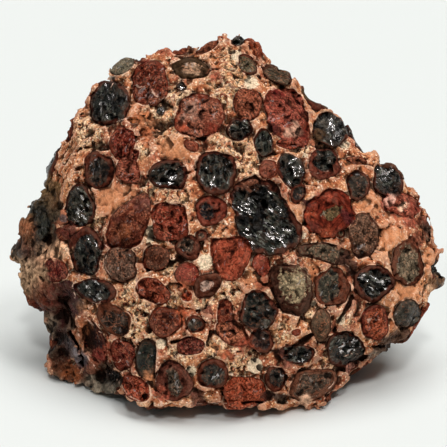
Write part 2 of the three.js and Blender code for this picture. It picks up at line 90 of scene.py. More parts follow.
DEPTH = np.array([
    [-28.21, 42.51, -4], [-19.11, 45.11, -5], [-11.31, 46.93, -6], [-7.41, 45.11, -4], [-0.91, 48.75, -6], [4.29,
    48.75, -7], [10.01, 41.99, -5], [19.37, 37.31, -6], [19.89, 33.41, -4], [28.47, 28.73, -5], [32.63, 23.01,
    -5], [35.49, 17.55, -3], [38.87, 18.59, -5], [43.81, 14.43, -5], [46.93, 9.23, -5], [50.31, 6.63, -4], [52.39,
    0.91, -3], [53.43, -4.29, -2], [57.07, -6.89, -2], [54.47, -11.57, 0], [56.81, -15.73, -4], [52.65, -18.07,
    1], [52.91, -20.93, 0], [50.31, -25.09, 0], [46.93, -29.77, 1], [40.95, -33.41, 3], [34.19, -37.05, 5],
    [30.55, -41.21, 7], [27.69, -45.37, 8], [24.57, -47.45, 8], [19.11, -48.49, 9], [10.01, -47.71, 13], [4.29,
    -48.75, 15], [-6.11, -46.93, 16.5], [-13.91, -46.93, 16], [-21.71, -46.15, 14], [-25.61, -43.55, 10.5],
    [-27.43, -41.47, 6], [-32.11, -43.81, 0], [-37.31, -44.33, -3.7], [-42.51, -41.21, -6], [-45.89, -37.05, -9],
    [-44.33, -31.59, -10], [-45.63, -23.79, -8], [-49.53, -19.89, -8], [-52.39, -13.65, -10], [-54.73, -7.41,
    -14], [-52.91, -2.99, -13], [-50.31, 3.51, -12], [-47.19, 7.41, -10], [-45.11, 10.01, -8], [-44.59, 13.39,
    -8], [-42.51, 19.11, -6], [-40.69, 24.31, -4], [-38.61, 27.95, -4], [-35.23, 30.55, -3], [-33.41, 34.19, -3],
    [-30.03, 39.39, -4], [-24.31, 38.61, 1], [-16.51, 38.61, 3], [-8.71, 40.43, 3], [-0.91, 41.21, 4], [5.59,
    41.21, 3], [12.09, 37.83, 0], [15.99, 36.01, 0], [-29.51, 30.81, 3], [-19.11, 32.11, 7], [-8.71, 30.81, 9],
    [1.69, 32.11, 9], [10.79, 30.81, 6], [17.29, 29.51, 4], [-37.31, 21.71, 3], [-29.51, 21.71, 8], [-19.11,
    21.71, 12], [-8.71, 21.71, 14], [1.69, 21.71, 14], [12.09, 21.71, 11], [19.89, 23.01, 7], [27.69, 23.01, 2],
    [30.29, 19.11, 1], [-41.21, 12.61, 2], [-33.41, 13.91, 7], [-24.31, 12.61, 13], [-13.91, 12.61, 16], [-2.21,
    12.61, 17.5], [9.49, 12.61, 17], [19.89, 12.61, 13], [30.29, 12.61, 8], [38.09, 12.61, 4], [43.29, 11.31, -1],
    [-46.41, -0.39, -5], [-42.51, 2.21, 1], [-37.31, 3.51, 6], [-26.91, 2.21, 13], [-16.51, 2.21, 17], [-3.51,
    2.21, 19], [9.49, 2.21, 19], [19.89, 2.21, 17], [30.29, 2.21, 12], [40.69, 2.21, 7], [48.49, 2.21, 2],
    [-50.31, -6.89, -8], [-46.41, -6.89, -2], [-42.51, -6.89, 4], [-34.71, -6.89, 9], [-24.31, -6.89, 15],
    [-13.91, -6.89, 18], [-0.91, -6.89, 20.5], [12.09, -6.89, 20], [22.49, -6.89, 17.5], [32.89, -6.89, 13],
    [43.29, -6.89, 9], [49.79, -8.19, 5], [54.21, -8.19, 0], [-47.71, -15.99, -3], [-42.51, -15.99, 3], [-36.01,
    -17.29, 9], [-29.51, -17.29, 13], [-19.11, -17.29, 17], [-6.11, -17.29, 20.5], [6.89, -17.29, 20.5], [19.89,
    -17.29, 18.5], [30.29, -17.29, 15], [40.69, -17.29, 11], [48.49, -18.59, 6], [-42.51, -25.09, -4], [-38.61,
    -26.39, 1], [-32.11, -26.39, 10], [-24.31, -26.39, 15], [-16.51, -26.39, 18.5], [-6.11, -26.39, 20.5], [6.89,
    -26.39, 20], [19.89, -26.39, 18], [30.29, -26.39, 14], [40.69, -26.39, 9.5], [45.89, -26.39, 5], [-42.51,
    -35.49, -6], [-38.61, -34.19, -3], [-33.41, -32.89, 6], [-28.21, -32.89, 10], [-21.71, -34.19, 15], [-13.91,
    -35.49, 18.5], [-3.51, -35.49, 19.5], [6.89, -35.49, 18.5], [19.89, -35.49, 15.5], [30.29, -34.19, 11],
    [-41.21, -39.39, -5], [-34.71, -39.39, -2], [-32.11, -41.99, -2], [-21.71, -41.99, 13.5], [-13.91, -41.99,
    17.5], [-3.51, -41.99, 18], [5.59, -43.29, 17], [14.69, -41.99, 13], [23.79, -41.99, 10.5],
])
FRACTURES = [
    (0.08, 0.98, -0.12, 28),
    (-0.28, 0.92, 0.3, 31),
    (0.42, 0.88, 0.24, 34),
    (-0.38, 0.84, -0.4, 34.5),
    (0.48, 0.78, -0.42, 37),
    (-0.62, 0.76, 0.16, 48.5),
    (0.7, 0.7, -0.05, 50.5),
    (0.05, 0.62, 0.78, 50),
    (-0.5, 0.55, 0.68, 53),
    (0.58, 0.48, 0.62, 48),
    (-0.86, 0.42, -0.28, 58),
    (0.8, 0.36, -0.5, 56),
    (0.15, 0.75, -0.62, 36),
]
WAVES = [
    (0.21, 0.13, -0.17, 0.4, 1.0), (-0.11, 0.24, 0.19, 2.1, 1.0), (0.29, -0.2, 0.12, 4.4, 0.8),
    (0.16, 0.33, -0.27, 1.3, 0.7), (-0.38, 0.14, 0.3, 5.2, 0.6), (0.45, 0.36, 0.22, 3.3, 0.45),
    (-0.31, -0.52, 0.4, 0.9, 0.4), (0.6, -0.28, -0.47, 2.7, 0.35),
]


def bend(d2):
    return 0.5 * d2 * np.log(np.maximum(d2, 1e-9))


def spline_weights():
    n = len(DEPTH)
    x, y = DEPTH[:, 0], DEPTH[:, 1]
    a = np.zeros((n + 3, n + 3))
    a[:n, :n] = bend((x[:, None] - x) ** 2 + (y[:, None] - y) ** 2) + 6 * np.eye(n)
    a[:n, n] = a[n, :n] = 1
    a[:n, n + 1] = a[n + 1, :n] = x
    a[:n, n + 2] = a[n + 2, :n] = y
    b = np.zeros(n + 3)
    b[:n] = DEPTH[:, 2]
    return np.linalg.solve(a, b)


STEP2 = 0.4  # the tables below are on a grid of this step across the face
GU = np.arange(-72, 72.01, STEP2)
GV = np.arange(-64, 64.01, STEP2)


def polygon_distance(poly, u, v):
    d = np.full(u.shape, 1e9)
    inside = np.zeros(u.shape, bool)
    n = len(poly)
    for i in range(n):
        xi, yi = poly[i]
        xj, yj = poly[i - 1]
        ex, ey = xj - xi, yj - yi
        t = np.clip(((u - xi) * ex + (v - yi) * ey) / (ex * ex + ey * ey), 0, 1)
        d = np.minimum(d, np.hypot(u - xi - t * ex, v - yi - t * ey))
        if yi != yj:
            inside ^= ((yi > v) != (yj > v)) & (u < (xj - xi) * (v - yi) / (yj - yi) + xi)
    return np.where(inside, -d, d)


def make_tables():
    w = spline_weights()
    u, v = np.meshgrid(GU, GV, indexing="ij")
    h = w[-3] + w[-2] * u + w[-1] * v
    for k in range(len(DEPTH)):
        h = h + w[k] * bend((u - DEPTH[k, 0]) ** 2 + (v - DEPTH[k, 1]) ** 2)
    gx, gy = np.gradient(h, STEP2)
    rear = OUTLINE.copy()
    for _ in range(40):
        rear = (np.roll(rear, 1, 0) + 2 * rear + np.roll(rear, -1, 0)) / 4
    return {
        "h": h.astype(np.float32),
        "lean": (1 / np.sqrt(1 + np.minimum(4, gx * gx + gy * gy))).astype(np.float32),
        "edge": polygon_distance(OUTLINE, u, v).astype(np.float32),
        "rear": polygon_distance(rear, u, v).astype(np.float32),
    }


TAB = make_tables()


def look_up(name, u, v):
    g = TAB[name]
    a = np.clip((u - GU[0]) / STEP2, 0, g.shape[0] - 1.001)
    b = np.clip((v - GV[0]) / STEP2, 0, g.shape[1] - 1.001)
    i, j = a.astype(np.int32), b.astype(np.int32)
    s, t = a - i, b - j
    return (g[i, j] * (1 - s) + g[i + 1, j] * s) * (1 - t) + (g[i, j + 1] * (1 - s) + g[i + 1, j + 1] * s) * t


def smooth_max(a, b, k):
    h = np.maximum(k - np.abs(a - b), 0) / k
    return np.maximum(a, b) + h * h * k / 4


def face_frame(x, y, z):
    """Across, up and out of the main face, in millimetres, and where the view ray meets the face's plane."""
    zc = z - CENTRE_Z
    v = y * SA + zc * CA
    w = -y * CA + zc * SA
    s = APEX / (APEX - w)
    return v, w, x * s, v * s, s


def base_field(x, y, z):
    v, w, U, V, s = face_frame(x, y, z)
    h = look_up("h", U, V)
    front = (w - h) * look_up("lean", U, V)
    back = np.maximum(0, h - w - 3)
    to_rear = np.minimum(1, back / 9)
    edge = (1 - to_rear) * look_up("edge", U, V) + to_rear * look_up("rear", U, V)
    flank = edge / s + 0.05 * back + 0.0028 * back * back
    f = smooth_max(front, flank, 1.5)
    for nx, ny, nz, d in FRACTURES:
        l = math.sqrt(nx * nx + ny * ny + nz * nz)
        f = smooth_max(f, (nx * x + ny * (y - 4) + nz * (z - 44)) / l - d, 2)
    gap = np.full(x.shape, 1e9)
    for px, py, r in PADS:
        gap = np.minimum(gap, (np.hypot(x - px, y - py) - r) / 10)
    ragged = 0.12 * np.sin(0.55 * x + 0.31 * y) + 0.1 * np.sin(0.83 * y - 0.4 * x + 1.7)
    lift = smooth_max(np.zeros_like(x), 0.4 * (-24 - y), 2) + 1.8 * np.clip(gap + ragged, 0, 1)
    f = smooth_max(f, lift - z, 1.5)
    waves = sum(k * np.sin(a * x + b * y + c * z + p) for a, b, c, p, k in WAVES)
    return f + 0.6 * 0.4 * waves * np.clip(z / 6, 0, 1)


# ---- noise -----------------------------------------------------------------------------------------------
_rng = np.random.default_rng(2443)
_LAT = _rng.uniform(-1, 1, (64, 64, 64)).astype(np.float32)


def noise(p, size, seed=0):
    """Smooth value noise of about -1 to 1, with lumps of that size in millimetres."""
    c, s = math.cos(0.7 + seed), math.sin(0.7 + seed)
    x = (p[0] * c - p[1] * s) / size + 13.7 * seed + 500
    y = (p[0] * s * 0.8 + p[1] * c * 0.8 + p[2] * 0.6) / size + 7.1 * seed + 500
    z = (p[2] * 0.8 - (p[0] * s + p[1] * c) * 0.6) / size + 3.3 * seed + 500
    i, j, k = x.astype(np.int32), y.astype(np.int32), z.astype(np.int32)
    x, y, z = x - i, y - j, z - k
    x, y, z = x * x * (3 - 2 * x), y * y * (3 - 2 * y), z * z * (3 - 2 * z)
    i0, j0, k0 = i & 63, j & 63, k & 63
    i1, j1, k1 = (i + 1) & 63, (j + 1) & 63, (k + 1) & 63
    L = _LAT
    a = (L[i0, j0, k0] * (1 - x) + L[i1, j0, k0] * x) * (1 - y) + (L[i0, j1, k0] * (1 - x) + L[i1, j1, k0] * x) * y
    b = (L[i0, j0, k1] * (1 - x) + L[i1, j0, k1] * x) * (1 - y) + (L[i0, j1, k1] * (1 - x) + L[i1, j1, k1] * x) * y
    return (a * (1 - z) + b * z) * 1.35


_CELL = _rng.uniform(-1, 1, (32, 32, 32, 6)).astype(np.float32)


def facets(p, size, jitter=0.36, tilt=0.6, step=0.25):
    """Little tilted planes, one to each cell of a jittered lattice: the broken faces of a crystalline grain."""
    q = [c / size + 200.0 for c in p]
    base = [np.floor(c - 0.5).astype(np.int32) for c in q]
    best = np.full(q[0].shape, 1e9, np.float32)
    out = np.zeros(q[0].shape, np.float32)
    for di in (0, 1):
        for dj in (0, 1):
            for dk in (0, 1):
                i, j, k = base[0] + di, base[1] + dj, base[2] + dk
                c = _CELL[i & 31, j & 31, k & 31]
                dx = q[0] - (i + 0.5 + jitter * c[..., 0])
                dy = q[1] - (j + 0.5 + jitter * c[..., 1])
                dz = q[2] - (k + 0.5 + jitter * c[..., 2])
                d2 = dx * dx + dy * dy + dz * dz
                near = d2 < best
                best = np.where(near, d2, best)
                h = tilt * (dx * c[..., 3] + dy * c[..., 4] + dz * c[..., 5]) + step * c[..., 4] * c[..., 1]
                out = np.where(near, h, out)
    return out * size


# ---- the pisoliths -----------------------------------------------------------------------------------------
# Kinds: colour of the core and of the rim (linear), where the core ends (share of the radius), gloss, grain, facets,
# height of the dome (share of the radius), how flat its top is, depth of the groove round it in mm, rings, mottling.
KINDS = {
    #      core                    rim                     core_r gloss grain facet dome flat groove rings mottle
    "K": ((0.0036, 0.0036, 0.0031), (0.046, 0.014, 0.009), 0.86, 1.00, 0.25, 1.00, 0.16, 5.0, 0.36, 0.15, 0.55),
    "D": ((0.017, 0.013, 0.009), (0.066, 0.020, 0.012), 0.74, 0.60, 0.45, 0.55, 0.16, 3.5, 0.34, 0.35, 0.65),
    "R": ((0.200, 0.046, 0.023), (0.125, 0.028, 0.016), 0.93, 0.10, 1.00, 0.20, 0.13, 3.5, 0.16, 0.15, 0.80),
    "M": ((0.120, 0.027, 0.014), (0.100, 0.024, 0.013), 0.90, 0.25, 0.35, 0.08, 0.22, 2.4, 0.26, 0.40, 0.45),
    "O": ((0.300, 0.062, 0.024), (0.190, 0.042, 0.020), 0.90, 0.15, 0.55, 0.10, 0.14, 3.5, 0.24, 0.45, 0.55),
    "G": ((0.120, 0.115, 0.075), (0.085, 0.028, 0.018), 0.64, 0.35, 0.65, 0.20, 0.15, 3.5, 0.38, 0.55, 0.60),
    "Y": ((0.270, 0.230, 0.110), (0.034, 0.024, 0.016), 0.62, 0.25, 0.70, 0.20, 0.15, 3.5, 0.38, 0.60, 0.55),
    "S": ((0.088, 0.078, 0.058), (0.062, 0.030, 0.020), 0.84, 0.30, 0.40, 0.10, 0.16, 3.0, 0.36, 0.30, 0.45),
    "B": ((0.098, 0.066, 0.047), (0.080, 0.036, 0.024), 0.90, 0.30, 1.00, 0.25, 0.15, 3.0, 0.36, 0.20, 0.90),
}
# Those that show on the main face: centre (pixels across and down the 447 x 447 frame), half axes in pixels, turn of the
# first axis from the horizontal in degrees, kind, and what sets this one apart.
SHOWN = [
    (121.5, 65, 13.5, 9, 22, "G", {"core": (0.115, 0.125, 0.095), "rim": (0.030, 0.030, 0.024), "core_r": 0.93, "gloss": 0.6, "grain": 0.8}),
    (108.7, 103.5, 25.5, 19, 75, "K", {"dome": 0.22}),
    (150, 83, 24, 18.5, 80, "R", {"core": (0.094, 0.024, 0.014), "cut": [(-48, 20)]}),
    (190.4, 68, 18.7, 11, 2, "Y", {"core_r": 0.66, "aspect": 1.25, "core": (0.31, 0.24, 0.155), "rim": (0.036, 0.024, 0.013), "mottle": 0.15, "rings": 0.2, "grain": 0.35}),
    (179.7, 49, 9, 6.5, 10, "M", {}),
    (207, 47.5, 12, 4.5, 28, "M", {"core": (0.165, 0.062, 0.038)}),
    (238.5, 40, 8, 5, 10, "K", {}),
    (248, 65, 12.5, 8, -62, "G", {"tone": 0.6, "core_r": 0.8}),
    (277.5, 74, 16, 10, -20, "S", {"tone": 0.7}),
    (247, 104.5, 16.5, 14, -60, "R", {"core": (0.20, 0.065, 0.040)}),
    (288, 116.5, 31, 21, -62, "R", {"core": (0.22, 0.062, 0.042), "rings": 0.6}),
    (288, 144, 12, 5, -8, "R", {"tone": 0.9}),
    (181, 86.6, 5, 4.5, 0, "K", {}),
    (161, 110.5, 5, 4, 60, "K", {}),
    (199.8, 115.5, 25, 23, 10, "R", {"core": (0.235, 0.085, 0.058)}),
    (238.7, 129, 13.5, 12, 30, "K", {}),
    (264, 142.5, 14, 10, 92, "K", {"core": (0.022, 0.030, 0.024)}),
    (122, 143, 18, 12.5, 82, "R", {"core": (0.135, 0.026, 0.018)}),
    (134, 156, 8, 4.5, 70, "R", {"core": (0.150, 0.034, 0.022), "groove": 0.0, "dome": 0.04}),
    (128, 170, 15, 11.5, -60, "R", {"core": (0.195, 0.056, 0.038), "groove": 0.05}),
    (98, 170, 19.5, 15.5, 90, "D", {}),
    (168.5, 174, 20.5, 15.5, 10, "K", {"core_r": 0.80}),
    (216, 172, 22.5, 21, 90, "K", {"core_r": 0.84, "tone": 1.6}),
    (191, 145.5, 8.5, 5.5, -30, "M", {}),
    (268, 169.5, 9.5, 9.5, 0, "M", {"rings": 0.9, "core": (0.15, 0.045, 0.028)}),
    (251, 184.5, 13, 6, 8, "M", {"core": (0.105, 0.036, 0.022)}),
    (331, 129, 18, 17, 0, "K", {"tone": 2.4, "core_r": 0.92}),
    (324, 164, 17.5, 16, 80, "K", {"tone": 1.6, "core_r": 0.72, "off": (0.24, 0.0), "rim": (0.078, 0.024, 0.016)}),
    (292, 172, 19, 13, -68, "K", {"tone": 1.5}),
    (298, 193, 12, 7.5, 62, "D", {}),
    (358.5, 184.5, 14.5, 12.5, 90, "D", {}),
    (388, 180, 18, 15, -48, "K", {"dome": 0.20}),
    (357, 160.5, 12, 4, -10, "M", {"core": (0.170, 0.066, 0.036), "grain": 1.0}),
    (403, 205, 20, 12, -8, "R", {"core": (0.240, 0.075, 0.045)}),
    (79.5, 205.5, 22.5, 15, 92, "K", {"core": (0.017, 0.015, 0.009), "grain": 0.8, "dome": 0.18, "taper": 0.22}),
    (62, 234.5, 9, 6.5, -20, "M", {"tone": 0.45}),
    (85, 250.5, 23, 16.5, 88, "K", {"tone": 1.4, "dome": 0.18, "off": (-0.10, -0.06), "core_r": 0.82, "box": 2.4}),
    (41, 226, 15, 9, 88, "K", {"tone": 1.6, "core_r": 0.9}),
    (62, 217, 8.5, 7.5, 80, "M", {"core": (0.100, 0.085, 0.090), "rim": (0.400, 0.180, 0.110), "core_r": 0.5, "off": (-0.2, -0.1)}),
    (38, 206, 9, 7, 40, "K", {"core_r": 0.95}),
    (21, 249, 12, 8, 88, "D", {}),
    (40, 248, 10, 7, 60, "D", {"tone": 0.8}),
    (55, 270.5, 14, 12.5, 0, "R", {"core": (0.110, 0.022, 0.018), "dome": 0.24}),
    (95, 291, 20.5, 12.5, -12, "K", {"dome": 0.22, "core_r": 0.80, "off": (-0.18, 0.0)}),
    (121, 264, 18.5, 17.5, 80, "B", {"dome": 0.22}),
    (155.3, 258.5, 14.2, 13, 0, "M", {"core": (0.065, 0.024, 0.014), "dome": 0.22}),
    (130.5, 220.5, 32.5, 17.5, 57, "M", {"core": (0.100, 0.028, 0.016), "dome": 0.18, "taper": 0.46, "core_r": 0.96, "wave": 0.5}),
    (171, 221.5, 17.5, 18.5, 2, "R", {"box": 5.0, "wave": 0.4, "core": (0.190, 0.042, 0.024), "dome": 0.08}),
    (210.5, 211, 15.5, 15, 0, "D", {"core": (0.009, 0.005, 0.008), "rim": (0.135, 0.034, 0.022), "core_r": 0.56, "off": (-0.22, 0.0), "aspect": 1.2, "grain": 0.9}),
    (188.5, 246.5, 13, 12.5, 0, "G", {"core": (0.070, 0.060, 0.046), "core_r": 0.55, "off": (-0.1, 0.15)}),
    (201, 236, 7, 6, 30, "G", {"core": (0.060, 0.052, 0.042), "core_r": 0.5}),
    (187.3, 274.5, 12.3, 12, 0, "M", {"dome": 0.30, "core": (0.150, 0.028, 0.020)}),
    (206.7, 285, 14.5, 12.5, 35, "M", {"core": (0.36, 0.29, 0.25), "rim": (0.070, 0.026, 0.016), "core_r": 0.27, "dome": 0.20, "wave": 1.8}),
    (153, 291, 18.5, 12, -36, "R", {"core": (0.155, 0.037, 0.021), "grain": 0.6, "mottle": 0.4, "wave": 1.4}),
    (165, 321.5, 16.5, 15.5, 80, "M", {"core": (0.105, 0.034, 0.021), "dome": 0.22, "rings": 0.5}),
    (195.3, 324, 10, 9.3, 0, "D", {"dome": 0.22}),
    (114, 320, 19.5, 14, -42, "S", {"core": (0.036, 0.031, 0.027), "rim": (0.085, 0.032, 0.018), "core_r": 0.72, "off": (0.15, 0.0), "mottle": 0.8}),
    (95, 341, 22, 10.5, -70, "M", {"core": (0.014, 0.003, 0.004), "rim": (0.044, 0.009, 0.007), "gloss": 0.5, "dome": -0.25, "flat": 2.0, "core_r": 0.8, "off": (-0.15, 0.1)}),
    (122, 354, 17.5, 12, -80, "R", {"core": (0.160, 0.032, 0.022)}),
    (146.5, 358, 20.5, 10.5, 84, "S", {"core": (0.010, 0.014, 0.011), "rim": (0.022, 0.014, 0.010), "gloss": 0.9, "facet": 0.18, "grain": 0.05, "mottle": 0.3, "dome": 0.26, "box": 2.6}),
    (173, 380.5, 20.5, 18, -78, "G", {"core": (0.066, 0.060, 0.044), "core_r": 0.62, "aspect": 1.5, "rim": (0.095, 0.034, 0.024), "grain": 0.9}),
    (135, 388, 16, 11, -38, "R", {"core": (0.230, 0.046, 0.024)}),
    (191, 346, 14.5, 9.5, 0, "R", {"core": (0.115, 0.030, 0.022)}),
    (212.8, 373, 16.5, 15, 30, "D", {"core": (0.011, 0.011, 0.009), "dome": 0.24}),
    (231, 255, 25, 20.5, 92, "M", {"core": (0.222, 0.054, 0.028), "core_r": 0.97, "dome": 0.07, "box": 2.5, "taper": -0.24, "cut": [(93, 17.5)], "mottle": 0.1, "rings": 0.6, "wave": 0.4, "grain": 0.1}),
    (261.5, 264.5, 12.5, 9.2, 90, "M", {"core": (0.160, 0.036, 0.022)}),
    (225, 311.5, 13, 8.8, 90, "M", {"tone": 0.9}),
    (258, 311, 20.5, 18.7, 20, "K", {"tone": 1.8, "gloss": 0.75}),
    (262, 341, 14, 12, -50, "D", {"core": (0.040, 0.022, 0.018)}),
    (233, 333, 17, 13, -30, "R", {"core": (0.320, 0.120, 0.072), "groove": 0.15, "dome": 0.05}),
    (243.5, 393, 22.5, 17, 8, "O", {"core": (0.225, 0.052, 0.026), "dome": 0.20}),
    (291, 288.5, 27, 21, -65, "Y", {"core_r": 0.63, "off": (-0.05, 0.22), "core": (0.300, 0.295, 0.215), "rim": (0.042, 0.019, 0.013), "grain": 0.42, "mottle": 0.35}),
    (332.5, 288, 19.5, 18, 80, "G", {"core": (0.036, 0.040, 0.029), "rim": (0.095, 0.034, 0.020), "core_r": 0.76, "off": (0.0, 0.24), "aspect": 1.35, "gloss": 0.6}),
    (325, 252, 26, 10, -4, "S", {"core": (0.085, 0.078, 0.058), "rim": (0.045, 0.022, 0.015), "core_r": 0.78, "wave": 2.0, "grain": 0.7, "mottle": 0.7, "groove": 0.15}),
    (363.5, 235, 22, 16, 92, "B", {"core": (0.130, 0.080, 0.055)}),
    (340, 233.5, 5.5, 5, 0, "G", {}),
    (330.5, 214.5, 26.5, 25.5, 16, "R", {"core": (0.125, 0.115, 0.060), "core_r": 0.42, "aspect": 2.1, "off": (0.02, 0.06), "rim": (0.112, 0.021, 0.012), "rings": 0.8, "grain": 0.4, "gloss": 0.35, "cut": [(-48, 20.5)]}),
    (265.5, 217.5, 44, 27.5, -57, "K", {"core_r": 0.90, "dome": 0.12, "facet": 1.3, "off": (0.02, -0.04), "box": 2.3}),
    (407.5, 263, 22.5, 17, 94, "G", {"core": (0.160, 0.150, 0.105), "core_r": 0.74, "aspect": 1.25, "rim": (0.070, 0.026, 0.015)}),
    (373.5, 284, 20.5, 18, 0, "K", {"core_r": 0.74, "dome": 0.22}),
    (375, 322.5, 18, 15, 88, "O", {"core": (0.215, 0.058, 0.030), "rings": 0.9, "dome": 0.18, "core_r": 0.74, "rim": (0.110, 0.028, 0.018)}),
    (407.5, 314, 15, 14, 40, "D", {"core": (0.026, 0.027, 0.019), "rim": (0.040, 0.030, 0.022), "core_r": 0.85}),
    (344, 349.5, 19.5, 17, 0, "K", {"core": (0.0045, 0.0062, 0.0050), "gloss": 0.75}),
    (321, 326, 18, 10, 80, "S", {"core": (0.058, 0.045, 0.031), "rim": (0.075, 0.042, 0.026), "mottle": 0.15, "grain": 0.15, "rings": 0.1}),
    (298, 354, 18, 10.5, 0, "K", {}),
    (296.5, 332.5, 5, 4, 0, "M", {}),
    (313, 384.5, 24.5, 16.5, 22, "S", {"core": (0.095, 0.080, 0.066), "rim": (0.105, 0.048, 0.030), "core_r": 0.70, "dome": 0.12, "rings": 0.9, "mottle": 0.3}),
    (275.3, 378.5, 13, 10.5, 90, "D", {"core": (0.008, 0.007, 0.006), "off": (0.1, -0.15)}),
    (352, 366, 9, 6, 40, "R", {"core": (0.280, 0.150, 0.115)}),
    (331, 397, 8, 4.5, 45, "R", {"tone": 0.6}),
    (187, 296.5, 5.5, 5, 0, "O", {}),
    (134, 120, 6.5, 3.5, 0, "O", {"core": (0.520, 0.190, 0.070), "rim": (0.330, 0.100, 0.044)}),
    (145, 131, 6, 4.5, 20, "O", {}),
    (428, 236, 6, 3, 90, "S", {"core": (0.260, 0.200, 0.170)}),
    (250, 322, 5, 4, 0, "M", {}),
]
# Pits and cracks on the main face: from and to in pixels, half width in pixels, depth in mm.
CRACKS = [
    (258, 77, 269, 87, 2.6, 2.2), (352, 297, 344, 312, 3.2, 2.2), (344, 312, 334, 331, 3.0, 2.2),
    (302, 341, 312, 334, 3.0, 1.9), (285, 352, 300, 342, 2.4, 1.4), (146, 340, 160, 338, 1.8, 1.6),
    (170, 343, 181, 339, 2.0, 1.8), (181, 339, 196, 336, 1.5, 1.3), (350, 262, 357, 268, 1.6, 1.4),
    (311, 269, 313, 275, 1.5, 1.6), (140, 271, 143, 273, 1.7, 1.4), (349, 362, 366, 357, 2.2, 1.6),
    (189, 172, 197, 170, 1.3, 1.2), (145, 176, 150, 178, 1.4, 1.2), (395, 275, 402, 272, 1.0, 1.0),
    (246, 328, 256, 334, 1.8, 1.3), (66, 300, 74, 330, 3.5, 1.8), (72, 330, 84, 365, 4.0, 2.0),
    (104, 348, 110, 372, 2.0, 1.5), (282, 366, 288, 392, 2.0, 1.4), (225, 399, 262, 402, 1.5, 1.0),
]
# Patches of the clay between them, as they lie on the main face: centre and reach in pixels, strength.
SPECKLED = [
    (240, 75, 16, 1), (228, 95, 14, 1), (232, 58, 12, .8), (215, 82, 10, .9), (160, 116, 18, .9), (165, 130, 14, .8),
    (240, 152, 16, 1), (222, 142, 12, 1), (250, 166, 12, 1), (140, 152, 9, .8), (150, 188, 9, .8), (90, 138, 14, .9),
    (85, 126, 10, .8), (225, 288, 15, .9), (135, 298, 16, .9), (140, 318, 14, .9), (130, 282, 9, .7),
    (150, 342, 10, .9), (180, 352, 13, .8), (172, 303, 12, .7), (60, 250, 9, .8), (95, 220, 9, .8), (130, 333, 10, .9),
    (215, 348, 12, .8), (240, 358, 15, .9), (232, 376, 10, .7), (168, 266, 10, .7), (176, 196, 13, .8), (302, 148, 8, .8),
    (316, 178, 6, .6), (284, 332, 10, .8), (328, 362, 8, .6), (150, 236, 8, .6), (205, 300, 12, .8), (110, 300, 8, .5),
    (180, 95, 12, .7), (305, 315, 10, .6), (344, 320, 8, .8), (268, 290, 8, .6), (140, 97, 6, .5),
]
# Cream patches of the clay; the ones at (161, 344) and (341, 320) are painted highlights on ledges.
CREAM_AND_HIGHLIGHTS = [
    (151, 231, 6, 1), (150, 240, 4, .8), (205, 262, 8, 1), (191, 371, 6, .9), (255, 366, 8, .9), (161, 344, 5, 1.2),
    (313, 303, 3.5, .7), (302, 235, 5, .7), (341, 320, 5, .9), (237, 56, 7, .7), (251, 83, 8, .7), (262, 156, 6, .6),
    (291, 186, 4.5, .7), (305, 156, 5, .5), (70, 250, 6, .6), (188, 338, 4, .5), (138, 340, 4, .5), (345, 145, 7, .6),
    (225, 288, 8, .4), (218, 92, 7, .4), (385, 350, 5, .3), (33, 290, 8, .5), (124, 75, 4, .5),
]
SMOOTH = [
    (175, 148, 15, 1), (110, 200, 17, 1), (370, 203, 14, 1), (393, 240, 15, 1), (407, 291, 13, 1), (393, 215, 9, .8),
    (345, 200, 9, .8), (300, 214, 8, .8), (270, 172, 5, .5), (430, 258, 9, 1), (385, 302, 9, .9), (310, 270, 8, .6),
    (128, 193, 10, .8), (345, 262, 10, .6), (130, 107, 12, .6), (145, 165, 8, .6), (250, 45, 9, .8), (270, 330, 6, .5),
    (105, 275, 7, .6), (290, 205, 6, .7),
]
PATINA = [
    (36, 212, 18, 0.45), (24, 240, 17, 0.45), (45, 190, 9, 0.32), (66, 335, 20, 0.45), (60, 352, 20, 0.45), (66, 376, 20, 0.41),
    (74, 300, 11, 0.45), (52, 312, 14, 0.45), (100, 388, 16, .9), (36, 298, 12, 0.27), (66, 290, 8, 0.41), (30, 225, 14, 0.45),
    (400, 345, 10, .5), (420, 310, 7, .4), (112, 300, 5, .3),
]
